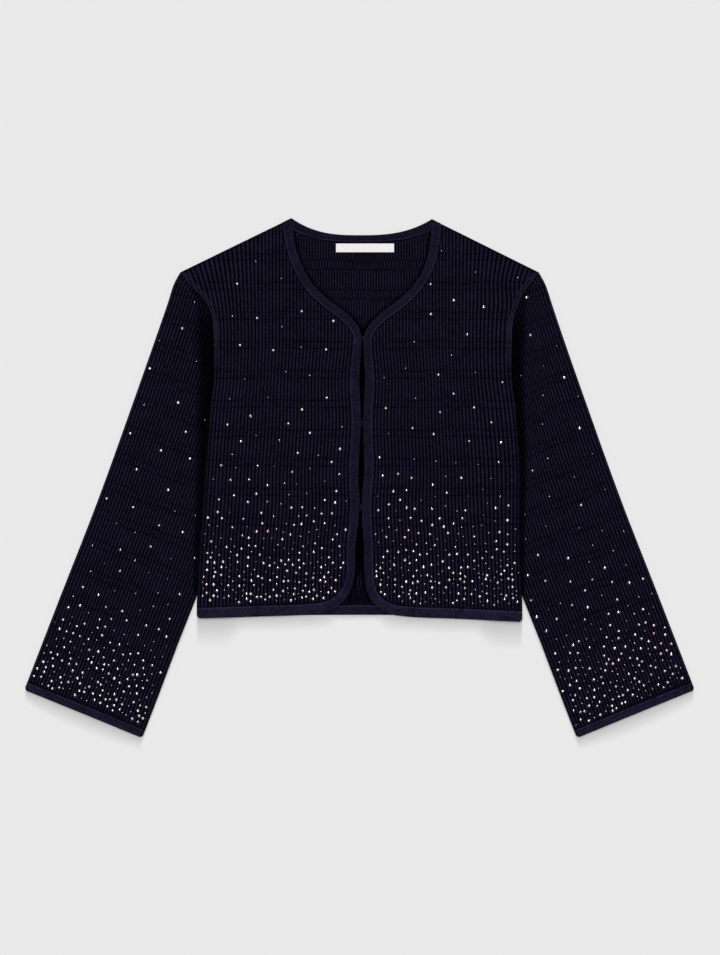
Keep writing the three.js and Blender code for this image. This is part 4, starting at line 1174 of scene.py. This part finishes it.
class Finish:
    """A material: a Principled shader whose uniform values are set directly, and nodes that feed the rest."""

    def __init__(self, name, **fixed):
        self.material = bpy.data.materials.new(name)
        self.material.use_nodes = True
        self.tree = self.material.node_tree
        self.shader = self.tree.nodes["Principled BSDF"]
        for socket, value in fixed.items():
            self.shader.inputs[socket.replace("_", " ")].default_value = value

    def node(self, kind, settings=None, inputs=None, output=0):
        """Adds a node, sets its settings first and then its sockets, and returns one of its outputs."""
        node = self.tree.nodes.new(kind)
        for name, value in (settings or {}).items():
            setattr(node, name, value)
        for name, value in (inputs or {}).items():
            if isinstance(value, Value):
                self.tree.links.new(value.socket, node.inputs[name])
            else:
                node.inputs[name].default_value = value
        return Value(self, node.outputs[output])

    def feed(self, **sockets):
        """Links values to the shader's sockets."""
        for name, value in sockets.items():
            self.tree.links.new(value.socket, self.shader.inputs[name.replace("_", " ")])

    def cloth_map(self):
        """The way across and along the cloth, in metres."""
        place = self.node("ShaderNodeUVMap", {"uv_map": "cloth"})
        return [self.node("ShaderNodeSeparateXYZ", {}, {"Vector": place}, axis) for axis in "XY"]

    def attribute(self, name, output="Fac"):
        """A value that the mesh carries."""
        return self.node("ShaderNodeAttribute", {"attribute_name": name}, {}, output)

    def noise(self, scale):
        """Noise in the piece's own space, from 0 to 1."""
        where = self.node("ShaderNodeTexCoord", {}, {}, "Object")
        return self.node("ShaderNodeTexNoise", {}, {"Vector": where, "Scale": scale, "Detail": 3.0})

    def between(self, low, high, factor):
        """A colour between two colours."""
        low, high = (c if isinstance(c, Value) else (*c, 1) for c in (low, high))
        return self.node("ShaderNodeMix", {"data_type": "RGBA"}, {0: factor, 6: low, 7: high}, 2)

    def bump(self, height, distance, strength=1.0):
        """A normal bent by a height."""
        return self.node("ShaderNodeBump", {}, {"Strength": strength, "Distance": distance, "Height": height})


def stitches(finish, wale, course):
    """Height of knit stitches: slanted strokes that meet in a V on each wale, from -1 to 1. It is a sine of
    the way along, shifted by the distance from the wale's middle."""
    u, v = finish.cloth_map()
    across = u / wale
    across = across.math("FRACT", across) - 0.5
    from_middle = across.math("ABSOLUTE", across)
    turn = (v / course - from_middle * 0.9) * (2 * math.pi)
    return turn.math("SINE", turn) * (1 - from_middle * from_middle * 2.4)


def knit(name, dark, light, wale, course, depth, contrast, mottle, cloud):
    """Yarn: painted shade in the furrows and painted light on the ribs, with stitches and unevenness, fine
    (mottle) and broad (cloud). dark is the colour of the painted shade, and light that of a lit crest. The
    relief's power is the contrast, so the painted shade makes the furrows look as deep as they are, and the
    shade attribute paints shade on what lies under cloth. wale and course are a stitch's width and length,
    and depth its height."""
    finish = Finish(name, Roughness=0.9, Specular_IOR_Level=0.0, Sheen_Weight=0.01, Sheen_Roughness=0.5)
    stitch = stitches(finish, wale * MM, course * MM)
    relief = finish.attribute("relief")
    grain = stitch * 0.1 + (finish.noise(60.0) - 0.5) * cloud + (finish.noise(420.0) - 0.5) * mottle + 1
    level = relief**contrast * KNIT_LEVEL * grain
    colour = finish.between(dark, light, level)
    finish.feed(Base_Color=finish.between((0, 0, 0), colour, finish.attribute("shade")))
    finish.feed(Normal=finish.bump(stitch + finish.noise(700.0) * 0.5, depth * MM, 0.6))
    return finish.material


def woven(name, colour, shade, thread):
    """Satin ribbon: fine threads across and along it."""
    finish = Finish(name, Roughness=0.85, Specular_IOR_Level=0.0)
    u, v = finish.cloth_map()
    across, along = u / (thread * MM) * math.pi, v / (thread * MM * 0.7) * math.pi
    weave = across.math("SINE", across) * along.math("SINE", along)
    finish.feed(Base_Color=finish.between(shade, colour, weave * 0.25 + finish.noise(160.0) * 0.3 + 0.6))
    finish.feed(Normal=finish.bump(weave, 0.05 * MM, 0.4))
    return finish.material


def sewing_thread(name, colour, light):
    """Twisted thread, lighter where it is rubbed."""
    finish = Finish(name, Roughness=0.8, Specular_IOR_Level=0.1)
    finish.feed(Base_Color=finish.between(colour, light, finish.noise(380.0)))
    return finish.material


def metal(name, colour, worn):
    """Blackened wire with slightly brighter wear."""
    finish = Finish(name, Metallic=1.0)
    wear = finish.noise(700.0)
    finish.feed(Base_Color=finish.between(colour, worn, wear), Roughness=wear * 0.2 + 0.28)
    return finish.material


def crystal(name):
    """Foiled glass: mirror facets of each stone's own tint, a little blurred by fine scratches."""
    finish = Finish(name, Metallic=0.9, Coat_Weight=0.6, Coat_Roughness=0.05)
    tint = finish.attribute("tint", "Color")
    finish.feed(Base_Color=tint, Roughness=finish.noise(1200.0) * 0.15 + 0.12)
    return finish.material


def stone_mesh():
    """A chaton with eight facets round its table: rings of eight points at the table, the girdle and the
    foot, with the girdle turned by half a facet."""
    turn = np.arange(8) * np.pi / 4
    rings = [(0.52, 0.62, 0.0), (0.98, 0.26, 0.5), (0.9, -0.1, 0.5)]
    points = []
    for radius, height, half in rings:
        angle = turn + half * np.pi / 4
        points.append(np.stack([radius * np.cos(angle), radius * np.sin(angle), np.full(8, height)], -1))
    i, j = np.arange(8), (np.arange(8) + 1) % 8
    crown = np.concatenate([np.stack([i, i + 8, j], -1), np.stack([j, i + 8, j + 8], -1)])
    wall = np.concatenate([np.stack([i + 8, i + 16, j + 8], -1), np.stack([j + 8, i + 16, j + 16], -1)])
    table = np.stack([np.zeros(6, int), np.arange(1, 7), np.arange(2, 8)], -1)
    foot = np.stack([np.full(6, 16), np.arange(18, 24), np.arange(17, 23)], -1)
    return np.concatenate(points), np.concatenate([crown, wall, table, foot])


def stone_looks(random, count):
    """Each stone's radius, tint and lean: over half are large and clear, some are warm or rosy, a few cold,
    and the small ones are dim."""
    large = random.random(count) < LARGE_SHARE
    sizes = np.where(large, STONE_SIZES["large"], STONE_SIZES["small"]) * random.uniform(0.85, 1.12, count)
    hues = np.array([
        [1.0, 0.97, 1.0], [1.0, 0.97, 1.0], [1.0, 0.96, 1.0], [0.98, 0.96, 1.0],
        [1.0, 0.97, 1.0], [1.0, 0.70, 0.62], [1.0, 0.72, 0.80], [0.86, 0.88, 1.0],
    ])
    level = np.where(large, random.uniform(0.5, 0.9, count), random.uniform(0.1, 0.5, count))
    tints = hues[random.integers(0, len(hues), count)] * level[:, None]
    return sizes, tints, random.normal(0, 0.12, (count, 2))


def stones(name, random, x, y, z, sign, material):
    """All stones of one panel as one mesh: each is the chaton, scaled, leaned and set down at its place. Each
    facet keeps its stone's tint times a draw of its own, as facets catch the light unevenly."""
    points, faces = stone_mesh()
    count = len(x)
    sizes, tints, leans = stone_looks(random, count)
    local = points[None] * sizes[:, None, None]
    local[..., 2] += local[..., 0] * leans[:, :1] + local[..., 1] * leans[:, 1:]
    centres = np.stack([lie(sign * x, y), y, z], -1)
    placed = (local + centres[:, None, :]) * MM
    triangles = (faces[None] + np.arange(count)[:, None, None] * len(points)).reshape(-1, 3)
    mesh = mesh_of(name, placed.reshape(-1, 3), triangles.ravel(), np.full(len(triangles), 3))
    facet = np.random.default_rng(count).uniform(0.55, 1.0, (count, len(faces), 1, 1))
    colours = np.ones((count, len(faces), 3, 4))
    colours[..., :3] = np.clip(tints[:, None, None, :] * facet, 0, 1)
    mesh.color_attributes.new("tint", "FLOAT_COLOR", "CORNER").data.foreach_set("color", colours.ravel())
    return finished(mesh, material)


def scattered(random, low, high, spacings):
    """Places at least their own spacing apart: random ones are tried in turn and kept where there is room.
    spacings is the table of mean spacings at each height or way along."""
    kept = np.empty((0, 2))
    reach = np.empty(0)
    places = random.uniform(low, high, (STONE_TRIES, 2))
    for place, spacing in zip(places, read_off(spacings, places[:, 1])):
        room = spacing * random.uniform(*STONE_ROOM)
        if len(kept) == 0 or np.all(np.hypot(*(kept - place).T) > (reach + room) / 2):
            kept = np.vstack([kept, place])
            reach = np.append(reach, room)
    return kept.T


def front_stones(side, material):
    """Stones of one front, near the crests of its ribs and clear of its bands."""
    shape = FrontShape(side)
    random = np.random.default_rng(STONE_SEED + SIDES[side])
    x, y = scattered(random, *STONE_FIELD_BODY, STONE_SPACING_BODY)
    s = shape.share(x, y)
    s = mix(s, (np.floor(s * FRONT_RIBS) + 0.5) / FRONT_RIBS, STONE_ON_RIB)
    x = shape.column(s, y)
    inside = (s > shape.first + 0.03) & (s < 0.99)
    held = np.clip(s, shape.first + 0.03, 0.99)
    inside &= (y > shape.bottom(held) + STONE_MARGIN) & (y < shape.top(held) - STONE_MARGIN * 3)
    inside &= x < half_width(y) - np.where(y > UNDERARM_Y, 7, 3)
    x, y = x[inside], y[inside]
    z = front_base(side, x, y) + CLOTH
    return stones(f"stones_front_{side}", random, x, y, z, SIDES[side], material)


def sleeve_stones(side, material):
    """Stones of one sleeve, near the crests of its ribs, where the body doesn't lie on it."""
    random = np.random.default_rng(STONE_SEED * 7 + SIDES[side])
    field = (STONE_FIELD_SLEEVE_WIDTH, sleeve_length)
    across, along = scattered(random, (0, 0), field, STONE_SPACING_SLEEVE)
    across = mix(across, (np.floor(across / RIB_PITCH) + 0.5) * RIB_PITCH, STONE_ON_RIB)
    width = fold_across(along)
    inside = (across > 3.5) & (across < width - RIB_END - 2) & (along > seam_along(across) + 8)
    inside &= along < cuff_along(across, CUFF_BAND) - STONE_MARGIN
    x, y = sleeve_point(across, along)
    inside &= (y > UNDERARM_Y) | (y < -172) | (x > half_width(y) + 4)
    across, along, x, y, width = across[inside], along[inside], x[inside], y[inside], width[inside]
    z = ring_height(across, along, width, np.ones(len(x), bool), CLOTH, 0.0, False)
    return stones(f"stones_sleeve_{side}", random, x, y, z, SIDES[side], material)


def camera():
    """Straight down from far above, as flat product pictures are taken."""
    data = bpy.data.cameras.new("camera")
    data.sensor_width = SENSOR
    data.lens = SENSOR * CAMERA_HEIGHT / VIEW_HEIGHT
    data.clip_end = 40
    thing = shown("camera", data)
    thing.location = (*CAMERA_PLACE, CAMERA_HEIGHT)
    bpy.context.scene.camera = thing


def sun(name, elevation, azimuth, spread, strength):
    """A distant soft lamp, aimed at the middle of the floor: elevation above the floor, azimuth from +Y,
    angular width, and the light that it lays on the floor."""
    up, out = math.sin(math.radians(elevation)), math.cos(math.radians(elevation))
    turn = math.radians(azimuth)
    data = bpy.data.lights.new(name, "SUN")
    data.angle = math.radians(spread)
    data.energy = strength / up
    thing = shown(name, data)
    thing.location = (out * math.sin(turn) * 5, out * math.cos(turn) * 5, up * 5)
    thing.rotation_euler = thing.location.to_track_quat("Z", "Y").to_euler()


def floor():
    """A plain pale floor."""
    finish = Finish("pale_floor", Roughness=0.9, Specular_IOR_Level=0.0)
    mottle = finish.noise(3.0)
    finish.feed(Base_Color=finish.between((0.8, 0.8, 0.8), (0.802, 0.802, 0.802), mottle))
    mesh = bpy.data.meshes.new("floor")
    corners = np.array([(-1, -1), (1, -1), (1, 1), (-1, 1)]) * FLOOR_SIZE / 2
    mesh.from_pydata([(x, y, -FLOOR_DROP) for x, y in corners], [], [(0, 1, 2, 3)])
    mesh.materials.append(finish.material)
    shown("floor", mesh)


def studio():
    """Soft light from above, weaker low light from beyond the neck, and a little from all round. The low
    lamps lay the soft shadow below the hem and the cuffs."""
    scene = bpy.context.scene
    scene.view_settings.view_transform = "Standard"
    scene.world = bpy.data.worlds.new("studio")
    scene.world.use_nodes = True
    background = scene.world.node_tree.nodes["Background"]
    background.inputs["Color"].default_value = (1, 1, 1, 1)
    background.inputs["Strength"].default_value = WORLD_LIGHT
    sun("overhead", 84, -30, 30, LIGHT * OVERHEAD_SHARE)
    for elevation, spread in LOW_LAMPS:
        sun(f"low_{elevation}", elevation, 0, spread, LIGHT * LOW_SHARE / len(LOW_LAMPS))


def dress(piece, node):
    """Sets a piece to ride on the root body, and hides the part of model.glb named node, whose place it
    takes, if there is one.
    """
    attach(piece, "root")
    if node:
        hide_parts(node)
    return piece


camera()
studio()
floor()

# Each yarn's dark colour is painted shade for its furrows and grooves, and its light colour the yarn as lit
# on a crest
rib_yarn = knit(
    "rib_knit", dark=(0.0003, 0.0001, 0.0030), light=(0.0178, 0.0154, 0.0330),
    wale=1.36, course=1.15, depth=0.16, contrast=2.6, mottle=2.2, cloud=0.5,
)
band_yarn = knit(
    "band_knit", dark=(0.0010, 0.0006, 0.0040), light=(0.0250, 0.0208, 0.0490),
    wale=1.02, course=0.95, depth=0.12, contrast=1.0, mottle=3.0, cloud=1.1,
)
seam_thread = sewing_thread("thread", (0.002, 0.0015, 0.006), (0.066, 0.060, 0.118))
label_ribbon = woven("label_satin", (0.885, 0.86, 0.835), (0.78, 0.755, 0.73), 0.35)
tab_ribbon = woven("tab_satin", (0.0052, 0.0042, 0.0100), (0.0028, 0.0020, 0.0065), 0.4)
black_wire = metal("hook_metal", (0.008, 0.0075, 0.009), (0.03, 0.028, 0.032))
foiled_glass = crystal("crystal")

back = dress(back_panel(rib_yarn), "back_panel")
neck = dress(neck_band(band_yarn), "neck_band_back")
hem = dress(hem_band(band_yarn), "hem_band_back")
for side in SIDES:
    front = dress(front_panel(side, rib_yarn), f"front_{side}")
    edge = dress(front_band(side, band_yarn), f"front_band_{side}")
    arm = dress(sleeve(side, rib_yarn), f"sleeve_{side}")
    cuff = dress(cuff_band(side, band_yarn), f"cuff_band_{side}")
    dress(seam_stitches(side, seam_thread), None)
    dress(front_stones(side, foiled_glass), None)
    dress(sleeve_stones(side, foiled_glass), None)

for name, (x, y) in HOOKS.items():
    for kind, path in (("hook", HOOK_PATH), ("eye", EYE_PATH)):
        places = np.array(path, float) + (x, y, WIRE_Z)
        dress(tube(f"{kind}_{name}_wire", places, WIRE_RADIUS, black_wire), f"{kind}_{name}")

label = ribbon("neck_label_ribbon", LABEL, CLOTH + 0.3, 0.06, label_ribbon)
dress(label, "neck_label")
tab = ribbon("care_tab_ribbon", TAB, CLOTH + 0.3, 0.05, tab_ribbon)
dress(tab, "care_tab")
